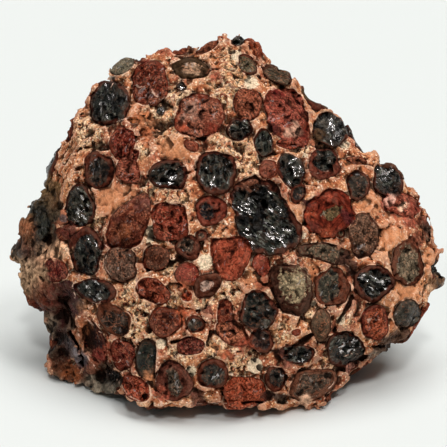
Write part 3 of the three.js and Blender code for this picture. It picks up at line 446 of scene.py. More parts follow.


# Thin pale seams, and painted highlights along the lower edge of the main face (the lines from (101, 372) to (272,
# 400)) and on the ledge at (160, 343): through these pixels, and how strong.
VEINS_AND_EDGE_HIGHLIGHTS = [
    ([(136, 84), (147, 87), (155, 93), (160, 100), (168, 95), (173, 88)], 1.0), ([(150, 74), (150, 90)], 0.6),
    ([(176, 110), (184, 109), (190, 114), (193, 121)], 0.8), ([(178, 116), (184, 120), (187, 127)], 0.6),
    ([(113, 84), (110, 91), (108, 99)], 0.9), ([(156, 224), (163, 220), (169, 218)], 0.8),
    ([(158, 205), (168, 203), (178, 206), (186, 207)], 0.8), ([(154, 209), (153, 225), (156, 239)], 0.8),
    ([(160, 237), (172, 234), (182, 237)], 0.6), ([(194, 266), (195, 272), (196, 278)], 0.9),
    ([(367, 321), (375, 319), (384, 320)], 0.8), ([(363, 318), (369, 322), (366, 327)], 0.5),
    ([(302, 240), (310, 236), (305, 228)], 0.6), ([(236, 122), (229, 128), (231, 137)], 0.8),
    ([(121, 120), (112, 126), (100, 130)], 0.8), ([(135, 97), (139, 105), (147, 111)], 0.7),
    ([(135, 112), (128, 118), (119, 123)], 0.8), ([(75, 299), (74, 288), (76, 279), (80, 273)], 1.0),
    ([(77, 301), (86, 305), (95, 304), (101, 300)], 0.6), ([(104, 241), (108, 250), (104, 262), (108, 271), (112, 278)], 0.7),
    ([(83, 318), (96, 330), (108, 338), (118, 341), (130, 336)], 0.8), ([(76, 332), (84, 350), (94, 366), (101, 372)], 0.9),
    ([(101, 372), (110, 373), (117, 377), (121, 385), (127, 394), (137, 400), (146, 404), (160, 405)], 1.1),
    ([(160, 405), (178, 404), (190, 406), (205, 402), (222, 403), (243, 409)], 0.8), ([(246, 409), (262, 402), (272, 400)], 0.7),
    ([(104, 372), (113, 364), (121, 360)], 0.6), ([(156, 338), (160, 343), (166, 346)], 1.0), ([(149, 392), (157, 398), (163, 402)], 0.9),
    ([(300, 398), (297, 390), (299, 381), (305, 374)], 0.7), ([(303, 399), (318, 396), (331, 387), (336, 378)], 0.6),
    ([(279, 365), (287, 372), (292, 377)], 0.6), ([(343, 262), (350, 268), (352, 276)], 0.5), ([(285, 256), (296, 248), (300, 238)], 0.6),
    ([(269, 258), (262, 252), (256, 243), (246, 236)], 0.6), ([(170, 173), (182, 166), (190, 166)], 0.7), ([(345, 358), (352, 353), (362, 352)], 0.7),
    ([(392, 296), (383, 303), (390, 308)], 0.5), ([(214, 143), (226, 139), (233, 143)], 0.7), ([(232, 186), (226, 196), (228, 206)], 0.6),
    ([(286, 300), (290, 314), (304, 318)], 0.5), ([(309, 171), (320, 172), (334, 170)], 0.7), ([(240, 290), (246, 296), (243, 303)], 0.4),
    ([(139, 276), (137, 284), (141, 295)], 0.7), ([(216, 246), (214, 256), (219, 268)], 0.6), ([(148, 306), (158, 303), (168, 305)], 0.8),
    ([(155, 362), (158, 370), (156, 381)], 0.6), ([(258, 186), (268, 186), (276, 190)], 0.6), ([(160, 98), (152, 106), (142, 107)], 0.5),
]
# Where the glassy pisoliths glitter most: centre and reach in pixels, strength.
GLINTS = [
    (247, 207, 9, 0.75), (240, 200, 5, 0.6), (275, 210, 8, 0.75), (283, 229, 7, 0.6), (279, 247, 8, 1.1), (272, 236, 6, 0.6),
    (118, 108, 8, 0.26), (112, 95, 6, 0.22), (124, 98, 5, 0.2), (385, 172, 9, 0.9), (377, 180, 5, 0.6), (268, 306, 6, 0.45),
    (252, 300, 5, 0.4), (305, 357, 5, 0.6), (292, 352, 4, 0.4), (364, 277, 4, 0.9), (372, 293, 7, 1.0), (381, 281, 4, 0.5),
    (155, 347, 4, 0.6), (213, 178, 9, 0.50), (222, 165, 6, 0.45), (205, 170, 5, 0.40), (170, 176, 8, 0.55), (178, 168, 5, 0.4),
    (293, 170, 8, 0.65), (289, 183, 5, 0.5), (298, 160, 4, 0.5), (265, 142, 8, 0.95), (268, 135, 5, 0.9), (239, 128, 6, 0.50),
    (243, 122, 4, 0.5), (334, 127, 9, 0.60), (340, 138, 6, 0.5), (328, 120, 5, 0.5), (326, 160, 7, 0.55), (321, 152, 4, 0.4),
    (82, 212, 8, 0.65), (76, 220, 5, 0.5), (84, 198, 5, 0.4), (88, 262, 7, 0.55), (80, 243, 6, 0.45), (92, 287, 7, 0.55),
    (98, 296, 5, 0.45), (345, 348, 7, 0.5), (237, 39, 4, 0.7), (181, 87, 5, 0.8), (161, 110, 5, 0.7), (46, 212, 5, 0.4),
    (102, 168, 4, 0.3), (352, 340, 4, 0.5), (299, 343, 4, 0.4), (275, 222, 5, 0.3), (258, 232, 4, 0.3), (430, 232, 4, 0.6),
]
# Where the stone stands out or is hollowed beyond its plain shape: centre and reach in pixels, height in mm.
LUMPS = [
    (119, 65, 12, 1.7), (130, 60, 8, 0.8), (66, 316, 9, -1.5), (64, 297, 7, -1.2), (104, 375, 8, -2.2), (114, 377, 5, -1.8),
    (60, 338, 6, -1.2), (62, 352, 5, -1.0), (76, 353, 6, 0.8), (95, 387, 9, 0.9), (85, 390, 6, 0.8), (47, 296, 13, 1.0),
    (28, 230, 8, 0.6), (22, 249, 9, 0.5), (49, 240, 5, -1.2), (60, 205, 4, -0.7), (32, 275, 12, 0.4), (396, 344, 8, -0.5),
]
# Where stains, broken edges and other stuff colour it, and painted shade at the lower left: centre and reach in pixels,
# strength, colour.
TINTS_AND_PAINTED_SHADE = [
    (49, 188, 11, 0.9, (0.095, 0.058, 0.026)), (44, 197, 11, 0.9, (0.150, 0.105, 0.055)), (54, 200, 8.5, 0.9, (0.060, 0.030, 0.015)),
    (36, 206, 9.8, 0.8, (0.012, 0.012, 0.010)), (50, 211, 9.8, 0.8, (0.030, 0.025, 0.014)), (40, 222, 15.9, 0.7, (0.022, 0.024, 0.018)),
    (27, 226, 8.5, 1.0, (0.210, 0.070, 0.030)), (30, 217, 8.5, 0.9, (0.050, 0.040, 0.022)), (26, 238, 8.5, 0.9, (0.120, 0.055, 0.030)),
    (17, 249, 7.3, 1.0, (0.024, 0.026, 0.018)), (25, 250, 9.8, 0.8, (0.085, 0.038, 0.028)), (36, 246, 7.3, 0.9, (0.030, 0.018, 0.012)),
    (51, 241, 7.3, 1.0, (0.016, 0.009, 0.007)), (38, 262, 7.3, 0.6, (0.090, 0.030, 0.018)), (30, 276, 15.9, 0.9, (0.330, 0.225, 0.140)),
    (24, 264, 9.8, 0.8, (0.300, 0.220, 0.150)), (44, 252, 8.5, 0.8, (0.520, 0.330, 0.210)), (60, 250, 9.8, 0.5, (0.560, 0.340, 0.210)),
    # near-black patches from (48, 299) to (53, 352): dark stone and painted shade of the recess under the lower-left
    # overhang
    (40, 290, 9.8, 0.9, (0.130, 0.036, 0.018)), (48, 299, 15, 1.3, (0.052, 0.010, 0.007)), (66, 292, 10, 1.3, (0.020, 0.006, 0.009)),
    (64, 310, 11, 1.4, (0.016, 0.005, 0.007)), (75, 310, 6, 0.9, (0.055, 0.014, 0.014)), (78, 302, 4, 0.8, (0.050, 0.042, 0.040)),
    (52, 318, 7, 0.9, (0.140, 0.120, 0.090)), (52, 330, 6, 0.8, (0.120, 0.110, 0.085)), (71, 325, 5, 0.7, (0.090, 0.070, 0.052)),
    (62, 332, 10, 1.3, (0.018, 0.008, 0.008)), (86, 326, 7, 0.9, (0.270, 0.095, 0.042)), (80, 338, 6, 0.9, (0.290, 0.120, 0.065)),
    (86, 352, 5, 0.9, (0.400, 0.200, 0.125)), (93, 366, 6, 0.9, (0.260, 0.085, 0.048)), (70, 343, 5, 1.0, (0.075, 0.080, 0.094)),
    (75, 351, 5, 1.0, (0.110, 0.115, 0.135)), (81, 360, 6, 1.0, (0.070, 0.076, 0.095)), (88, 368, 5, 0.9, (0.020, 0.014, 0.016)),
    (64, 352, 8, 1.2, (0.020, 0.007, 0.006)), (53, 352, 7, 1.0, (0.018, 0.018, 0.014)), (60, 366, 8, 1.0, (0.055, 0.022, 0.012)),
    (71, 373, 9, 1.0, (0.170, 0.052, 0.020)), (56, 376, 6, 0.8, (0.030, 0.028, 0.018)), (84, 378, 6, 0.8, (0.060, 0.026, 0.016)),
    # (104, 374) and (116, 379), and (88, 368) above: painted shadow in the cavity over the ledge
    (104, 374, 10, 1.5, (0.007, 0.004, 0.004)), (116, 379, 6, 1.4, (0.008, 0.005, 0.004)), (96, 386, 11, 1.0, (0.200, 0.190, 0.150)),
    (82, 387, 7, 1.0, (0.180, 0.172, 0.140)), (110, 385, 7, 1.0, (0.120, 0.110, 0.085)), (98, 356, 7, 0.8, (0.130, 0.026, 0.020)),
    (110, 350, 9, 0.6, (0.190, 0.040, 0.022)), (84, 306, 6, 0.7, (0.420, 0.210, 0.110)),
    (262, 193, 5.5, 1.5, (0.004, 0.004, 0.004)), (262, 201, 5.5, 1.5, (0.004, 0.004, 0.004)), (261, 209, 5.5, 1.5, (0.004, 0.003, 0.003)),
    (259, 217, 5.5, 1.5, (0.004, 0.003, 0.003)), (256, 225, 5.5, 1.3, (0.006, 0.005, 0.004)), (242, 220, 6, 1.3, (0.005, 0.005, 0.005)),
    (288, 214, 4, 0.7, (0.005, 0.005, 0.005)), (251, 199, 3, 0.5, (0.004, 0.004, 0.004)), (267, 230, 4, 0.5, (0.005, 0.005, 0.005)),
    (134, 58, 5, 1.0, (0.012, 0.012, 0.010)), (142, 60, 6, 0.6, (0.160, 0.035, 0.025)), (164, 50, 10, 0.5, (0.280, 0.080, 0.045)),
    (190, 52, 6, 0.8, (0.060, 0.022, 0.014)), (110, 78, 4, 0.8, (0.220, 0.190, 0.160)), (191, 112, 11, 0.45, (0.330, 0.190, 0.140)),
    (212, 127, 12, 0.5, (0.140, 0.026, 0.015)), (182, 127, 7, 0.5, (0.230, 0.050, 0.025)), (216, 78, 8, 0.6, (0.240, 0.070, 0.040)),
    (145, 118, 12, 0.5, (0.340, 0.120, 0.050)), (160, 124, 8, 0.5, (0.080, 0.045, 0.025)), (150, 138, 10, 0.5, (0.300, 0.100, 0.045)),
    (124, 233, 10, 0.45, (0.190, 0.060, 0.026)), (142, 203, 8, 0.5, (0.110, 0.040, 0.030)), (293, 130, 8, 0.8, (0.420, 0.250, 0.180)),
    (274, 128, 6, 0.8, (0.050, 0.012, 0.010)), (304, 135, 7, 0.6, (0.110, 0.018, 0.012)), (278, 94, 7, 0.6, (0.120, 0.016, 0.014)),
    (325, 196, 9, 0.5, (0.210, 0.046, 0.026)), (311, 215, 7, 0.6, (0.200, 0.040, 0.020)), (325, 233, 9, 0.5, (0.170, 0.038, 0.018)),
    (347, 216, 7, 0.6, (0.045, 0.009, 0.009)), (306, 203, 5, 0.6, (0.030, 0.010, 0.010)), (316, 226, 6, 0.5, (0.050, 0.012, 0.010)),
    (322, 121, 7, 0.6, (0.075, 0.072, 0.062)), (318, 134, 7, 0.7, (0.040, 0.022, 0.010)), (395, 190, 7, 0.7, (0.040, 0.022, 0.016)),
    (385, 203, 6, 0.7, (0.230, 0.045, 0.028)), (396, 214, 6, 0.6, (0.260, 0.060, 0.034)), (410, 222, 8, 0.7, (0.240, 0.060, 0.036)),
    (418, 243, 6, 0.6, (0.210, 0.065, 0.038)), (415, 208, 6, 0.7, (0.180, 0.040, 0.026)), (402, 207, 4, 0.9, (0.600, 0.400, 0.280)), (389, 200, 4, 0.9, (0.620, 0.400, 0.320)), (424, 220, 6, 0.8, (0.110, 0.032, 0.020)),
    (420, 236, 7, 0.8, (0.150, 0.045, 0.025)), (427, 228, 5, 0.8, (0.030, 0.020, 0.016)), (437, 281, 7, 0.7, (0.180, 0.100, 0.055)),
    (430, 290, 5, 0.6, (0.420, 0.280, 0.180)), (400, 336, 10, 0.7, (0.060, 0.034, 0.024)), (388, 346, 10, 0.8, (0.050, 0.034, 0.026)),
    (376, 356, 8, 0.6, (0.130, 0.110, 0.090)), (345, 262, 8, 0.8, (0.060, 0.028, 0.020)), (352, 268, 6, 0.8, (0.040, 0.018, 0.014)),
    (340, 246, 5, 0.6, (0.300, 0.140, 0.085)), (262, 284, 9, 0.6, (0.210, 0.060, 0.032)), (246, 345, 9, 0.6, (0.260, 0.065, 0.036)),
    (228, 356, 8, 0.6, (0.290, 0.075, 0.036)), (232, 324, 7, 0.5, (0.090, 0.024, 0.018)), (184, 286, 8, 0.5, (0.330, 0.105, 0.055)),
    (183, 313, 8, 0.6, (0.300, 0.075, 0.034)), (206, 308, 5, 0.7, (0.100, 0.026, 0.018)), (280, 352, 6, 0.7, (0.070, 0.022, 0.016)),
    (283, 362, 6, 0.7, (0.180, 0.060, 0.040)), (280, 400, 7, 0.8, (0.030, 0.022, 0.018)), (268, 395, 5, 0.8, (0.060, 0.024, 0.018)),
    (163, 394, 8, 0.7, (0.240, 0.060, 0.036)), (196, 398, 9, 0.7, (0.130, 0.050, 0.036)), (305, 400, 8, 0.6, (0.400, 0.260, 0.180)),
    (150, 378, 6, 0.6, (0.400, 0.170, 0.080)), (250, 183, 9, 0.5, (0.120, 0.045, 0.026)), (70, 232, 8, 0.8, (0.075, 0.020, 0.014)),
    (103, 247, 5, 0.8, (0.110, 0.028, 0.018)), (120, 222, 5, 0.6, (0.060, 0.016, 0.012)),
]


def at_pixel(px, py, w):
    """The point of the field's frame that a pixel sees at that height out of the face."""
    x = (px - MID) * PX * (APEX - w) / APEX
    v = (MID - py) * PX * (APEX - w) / APEX
    return x, v * SA - w * CA, CENTRE_Z + v * CA + w * SA


def gradient(x, y, z, e=1.2):
    g = np.stack([
        base_field(x + e, y, z) - base_field(x - e, y, z),
        base_field(x, y + e, z) - base_field(x, y - e, z),
        base_field(x, y, z + e) - base_field(x, y, z - e),
    ], -1) / (2 * e)
    return g / np.maximum(1e-6, np.linalg.norm(g, axis=-1, keepdims=True))


W_AXIS = np.array([0, -CA, SA])
V_AXIS = np.array([0, SA, CA])
U_AXIS = np.array([1.0, 0, 0])
rng = np.random.default_rng(71)


class Pisoliths:
    """Every pisolith at the surface: its centre, the map from a point to its own coordinates, and its looks."""

    def __init__(self):
        self.centre, self.map, self.radius, self.looks = [], [], [], []

    def add(self, centre, own, radius, kind, over):
        core, rim, core_r, gloss, grain, facet, dome, flat, groove, rings, mottle = KINDS[kind]
        tone = over.get("tone", 1.0) * rng.uniform(0.9, 1.1)
        core = np.array(over.get("core", core)) * tone
        rim = np.array(over.get("rim", rim)) * (0.6 + 0.4 * tone) * rng.uniform(0.9, 1.1)
        core = core * rng.uniform(0.94, 1.06, 3)
        off = over.get("off", (0.0, 0.0))
        self.centre.append(centre)
        self.map.append(own)
        self.radius.append(radius)
        self.looks.append([
            *core, *rim, over.get("core_r", core_r), over.get("gloss", gloss), over.get("grain", grain),
            over.get("facet", facet), over.get("dome", dome), over.get("flat", flat), over.get("groove", groove),
            over.get("rings", rings), over.get("mottle", mottle), off[0], off[1], rng.uniform(0, 50),
            over.get("taper", 0.0), over.get("box", 2.0), over.get("aspect", 1.0), over.get("wave", 1.0), *over.get("cuts", (0, 0, 0, 0)),
        ])

    def close(self):
        self.centre = np.array(self.centre)
        self.map = np.array(self.map)
        self.radius = np.array(self.radius)
        self.looks = np.array(self.looks, np.float32)
        # how far each one reaches, in mm
        self.reach = np.array([1.45 / np.linalg.svd(m, compute_uv=False).min() for m in self.map])
        self.reach = np.minimum(self.reach, self.radius * 3.2)


(CORE, RIM, CORE_R, GLOSS, GRAIN, FACET, DOME, FLAT, GROOVE, RINGS, MOTTLE, OFF, SEED) = (
    slice(0, 3), slice(3, 6), 6, 7, 8, 9, 10, 11, 12, 13, 14, slice(15, 17), 17)
(TAPER, BOX, ASPECT, WAVE, CUTS) = 18, 19, 20, 21, slice(22, 26)


def outline(q, L):
    """How far out points are from a pisolith's middle (1 at its outline), and from its core's, by their places in its own coordinates."""
    x, y, z = q[..., 0], q[..., 1], q[..., 2]
    y2 = y / np.clip(1 - L[..., TAPER] * x, 0.4, 1.7)
    n = L[..., BOX]
    rho = (np.abs(x) ** n + np.abs(y2) ** n) ** (1 / n)
    way = np.arctan2(y, x)
    seed = L[..., SEED]
    wave = 0.040 * np.cos(2 * way + seed * 3) + 0.038 * np.cos(3 * way + seed * 7) + 0.026 * np.cos(4 * way + seed * 11)
    wave = (wave + 0.018 * np.cos(5 * way + seed * 13)) * L[..., WAVE] * np.minimum(1, rho * 2)
    rho = rho * (1 + wave)
    c = L[..., CUTS]
    rho = np.maximum(rho, np.maximum(x * c[..., 0] + y * c[..., 1], x * c[..., 2] + y * c[..., 3]))
    core = np.hypot(x - L[..., 15], (y - L[..., 16]) * L[..., ASPECT]) * (1 + 0.8 * wave)
    return np.sqrt(rho * rho + z * z), core
balls = Pisoliths()

shown = np.array([[p[0], p[1]] for p in SHOWN], float)
ws = np.arange(30, -42, -0.4)
X, Y, Z = at_pixel(shown[:, 0, None], shown[:, 1, None], ws[None])
F = base_field(X, Y, Z)
hit = np.where((F < 0).any(1), (F < 0).argmax(1), F.argmin(1))
rows = np.arange(len(shown))
w0 = ws[hit]
C = np.stack([X[rows, hit], Y[rows, hit], Z[rows, hit]], -1)
N = gradient(C[:, 0], C[:, 1], C[:, 2], 1.6)
for k, (px, py, a, b, turn, kind, over) in enumerate(SHOWN):
    s0 = APEX / (APEX - w0[k])
    du = s0 * U_AXIS + (px - MID) * PX / (APEX - w0[k]) * W_AXIS
    dv = s0 * V_AXIS + (MID - py) * PX / (APEX - w0[k]) * W_AXIS
    t = math.radians(turn)
    own = np.array([
        (math.cos(t) * du + math.sin(t) * dv) / (a * PX),
        (-math.sin(t) * du + math.cos(t) * dv) / (b * PX),
        N[k] * 0.45 * 2 / ((a + b) * PX),
    ])
    cuts = []
    for way, far in over.get("cut", []):
        lean = math.radians(way - turn)
        cuts += [a * math.cos(lean) / far, b * math.sin(lean) / far]
    balls.add(C[k], own, (a + b) / 2 * PX, kind, {**over, "cuts": (cuts + [0] * 4)[:4]})
n_shown = len(SHOWN)


# ---- meshing the field ---------------------------------------------------------------------------------------
LOW = np.array([-58.5, -35.0, -0.9])
HIGH = np.array([58.8, 35.6, 86.5])


def grid(step):
    return [np.arange(LOW[i], HIGH[i] + step, step) for i in range(3)]


def on_grid(step):
    ax = grid(step)
    out = np.empty([len(a) for a in ax], np.float32)
    for i in range(0, len(ax[0]), 16):
        x, y, z = np.meshgrid(ax[0][i:i + 16], ax[1], ax[2], indexing="ij")
        out[i:i + 16] = base_field(x.ravel(), y.ravel(), z.ravel()).reshape(x.shape)
    return ax, out


def surface(values, low, step):
    """The zero level of a grid of values as vertices and quads: one vertex to a cell, one quad to a crossed edge."""
    S = values < 0
    for _ in range(6):  # no face of a cell has its two signs on diagonals, so every edge of the mesh has two faces
        changed = False
        for a, b in ((0, 1), (0, 2), (1, 2)):
            s = [np.take(np.take(S, range(i, S.shape[a] - 1 + i), a), range(j, S.shape[b] - 1 + j), b)
                 for i, j in ((0, 0), (1, 0), (0, 1), (1, 1))]
            bad = (s[0] == s[3]) & (s[1] == s[2]) & (s[0] != s[1])
            if bad.any():
                changed = True
                where = np.argwhere(bad)
                for i, j in ((0, 0), (1, 0), (0, 1), (1, 1)):
                    at = where.copy()
                    at[:, a] += i
                    at[:, b] += j
                    at = at[~S[at[:, 0], at[:, 1], at[:, 2]]]
                    values[at[:, 0], at[:, 1], at[:, 2]] = -0.02
                S = values < 0
        if not changed:
            break
    n = sum(S[i:S.shape[0] - 1 + i, j:S.shape[1] - 1 + j, k:S.shape[2] - 1 + k].astype(np.uint8)
            for i in (0, 1) for j in (0, 1) for k in (0, 1))
    cells = np.argwhere((n > 0) & (n < 8)).astype(np.int32)
    number = np.full(n.shape, -1, np.int32)
    number[cells[:, 0], cells[:, 1], cells[:, 2]] = np.arange(len(cells))
    total = np.zeros((len(cells), 3))
    count = np.zeros(len(cells))
    corners = [(i, j, k) for i in (0, 1) for j in (0, 1) for k in (0, 1)]
    val = {c: values[cells[:, 0] + c[0], cells[:, 1] + c[1], cells[:, 2] + c[2]].astype(float) for c in corners}
    for c in corners:
        for axis in range(3):
            if c[axis] == 0:
                d = tuple(1 if i == axis else c[i] for i in range(3))
                fa, fb = val[c], val[d]
                m = (fa < 0) != (fb < 0)
                t = np.where(m, fa / np.where(m, fa - fb, 1), 0)
                for i in range(3):
                    total[:, i] += m * (c[i] + (t if i == axis else 0))
                count += m
    points = LOW + (cells + total / count[:, None]) * step
    quads = []
    for axis in range(3):
        b, c = [(1, 2), (2, 0), (0, 1)][axis]
        lo = [slice(1, -1)] * 3
        hi = [slice(1, -1)] * 3
        lo[axis], hi[axis] = slice(0, -1), slice(1, None)
        A, B = S[tuple(lo)], S[tuple(hi)]
        at = np.argwhere(A != B).astype(np.int32)
        sign = A[at[:, 0], at[:, 1], at[:, 2]]
        at = at + [1 if i != axis else 0 for i in range(3)]
        ids = []
        for db, dc in ((-1, -1), (0, -1), (0, 0), (-1, 0)):
            p = at.copy()
            p[:, b] += db
            p[:, c] += dc
            ids.append(number[p[:, 0], p[:, 1], p[:, 2]])
        q = np.stack(ids, -1)
        q[~sign] = q[~sign][:, ::-1]
        quads.append(q)
    return points, np.concatenate(quads)


def in_reach(points, order, xs, centre, reach):
    """The numbers of the points in a box round a centre, from points sorted by x."""
    a, b = np.searchsorted(xs, [centre[0] - reach, centre[0] + reach])
    s = order[a:b]
    d = points[s]
    return s[(np.abs(d[:, 1] - centre[1]) < reach) & (np.abs(d[:, 2] - centre[2]) < reach)]


def owners(points):
    """For each point, its nearest pisolith (or -1) and its place in that one's coordinates."""
    own = np.full(len(points), -1, np.int32)
    place = np.zeros((len(points), 3), np.float32)
    best = np.full(len(points), 2.5, np.float32)
    order = np.argsort(points[:, 0])
    xs = points[order, 0]
    for k in range(len(balls.centre)):
        s = in_reach(points, order, xs, balls.centre[k], balls.reach[k])
        if not len(s):
            continue
        q = (points[s] - balls.centre[k]) @ balls.map[k].T
        r = outline(q, balls.looks[k])[0]
        far = (r - 1) * balls.radius[k] + np.where(np.abs(q[:, 2]) > 1.1, 9, 0)
        near = far < best[s]
        s = s[near]
        own[s] = k
        place[s] = q[near]
        best[s] = far[near]
    return own, place


# Pisoliths on the flanks, back and underside, which the main face's list leaves bare.
coarse_step = 0.9
axes_c, coarse = on_grid(coarse_step)
skin, _ = surface(coarse.copy(), LOW, coarse_step)
skin_n = gradient(skin[:, 0], skin[:, 1], skin[:, 2], 2.0)
v_, w_, U_, V_, s_ = face_frame(*skin.T)
hid = (w_ < look_up("h", U_, V_) - 5.0) & (skin[:, 2] > 0.6)
pool = skin[hid]
pool_n = skin_n[hid]
pick = rng.permutation(len(pool))
placed = [tuple(c) + (r,) for c, r in zip(balls.centre, balls.radius)]
for want, tries in ((6.8, 500), (5.4, 2200), (4.4, 4200), (3.5, 5200), (2.6, 5200), (1.8, 5200)):
    for t in range(tries):
        k = pick[int(rng.integers(len(pick)))]
        c, n = pool[k], pool_n[k]
        R = want * rng.uniform(0.85, 1.15)
        arr = np.array(placed)
        d = np.linalg.norm(arr[:, :3] - c, axis=1)
        if (d < (arr[:, 3] + R) * 1.02 + 0.25).any():
            continue
        if len(placed) > 900:
            break
        placed.append(tuple(c) + (R,))
        e = rng.uniform(1.0, 1.25)
        t1 = np.cross(n, rng.normal(size=3))
        t1 /= np.linalg.norm(t1)
        t2 = np.cross(n, t1)
        kind = rng.choice(list("KDRMOGYSB"), p=[0.20, 0.17, 0.18, 0.14, 0.05, 0.08, 0.03, 0.08, 0.07])
        over = {"tone": float(rng.uniform(0.6, 1.2)), "dome": float(rng.uniform(0.08, 0.34))}
        if rng.random() < 0.10:
            over["dome"] = float(rng.uniform(-0.55, -0.3))  # an empty socket
            over["flat"] = 2.0
            kind = rng.choice(list("MR"))
        balls.add(c, np.array([t1 / (R * e), t2 / (R / e), n * 0.45 / R]), R, kind, over)
balls.close()


# ---- fine relief ---------------------------------------------------------------------------------------------
def edge_noise(p):
    """How far each pisolith's outline strays from its ellipse, as a share of its radius."""
    return 0.080 * noise(p, 4.3, 1) + 0.050 * noise(p, 1.7, 2) + 0.022 * noise(p, 0.9, 28)


def face_places(p):
    """Where points lie in the frame's pixels, and 1 on the main face fading to 0 behind it."""
    v, w, U, V, s = face_frame(p[0], p[1], p[2])
    front = np.clip((w - look_up("h", U, V) + 9) / 4, 0, 1)
    return MID + U / PX, MID - V / PX, front


def flank(p):
    """1 on the main face and the flanks that show beside it, fading to 0 behind."""
    v, w, U, V, s = face_frame(p[0], p[1], p[2])
    return np.clip((w - look_up("h", U, V) + 22) / 6, 0, 1)


def blobs(table, px, py):
    out = np.zeros(px.shape)
    for x, y, r, k in table:
        d = ((px - x) ** 2 + (py - y) ** 2) / (r * r)
        out = np.maximum(out, k * np.exp(-d * d * 0.7))
    return out


def cracks(px, py, p):
    """Depth in mm of the open cracks and pits, which wander and narrow."""
    wob = 2.2 * noise(p, 2.6, 8) + 1.3 * noise(p, 1.1, 18)
    thin = 0.75 + 0.55 * noise(p, 1.9, 19)
    out = np.zeros(px.shape)
    for x0, y0, x1, y1, half, deep in CRACKS:
        m = (px > min(x0, x1) - 9) & (px < max(x0, x1) + 9) & (py > min(y0, y1) - 9) & (py < max(y0, y1) + 9)
        if not m.any():
            continue
        ex, ey = x1 - x0, y1 - y0
        qx, qy = px[m] + wob[m] - x0, py[m] - wob[m] * 0.7 - y0
        t = np.clip((qx * ex + qy * ey) / max(1e-9, ex * ex + ey * ey), 0, 1)
        d = np.hypot(qx - t * ex, qy - t * ey) / (half * thin[m])
        out[m] = np.maximum(out[m], deep * np.clip((1.3 - d) / 0.7, 0, 1))
    return out


def tinting(p, px, py, front):
    """The stains and painted shade at points: their colour, how strongly they cover, and how glossy they are."""
    wx, wy = px + 3.0 * noise(p, 2.2, 31), py + 3.0 * noise(p, 2.2, 32)
    total, weight, shiny = np.zeros((len(px), 3), np.float32), np.zeros(len(px), np.float32), np.zeros(len(px), np.float32)
    for x, y, far, strength, colour in TINTS_AND_PAINTED_SHADE:
        m = np.flatnonzero((np.abs(wx - x) < far * 1.7) & (np.abs(wy - y) < far * 1.7) & (front > 0))
        d2 = ((wx[m] - x) ** 2 + (wy[m] - y) ** 2) / far ** 2
        near = strength * np.exp(-d2 * d2 * 0.8) * np.minimum(1, front[m] * 2)
        total[m] += near[:, None] * np.array(colour)
        weight[m] += near
        shiny[m] += near * (max(colour) < 0.08 or colour[2] >= 0.09 and colour[2] >= colour[0])
    k = np.maximum(1e-4, weight)
    return total / k[:, None], np.minimum(1, weight), shiny / k


def smooth(t):
    t = np.clip(t, 0, 1)
    return t * t * (3 - 2 * t)


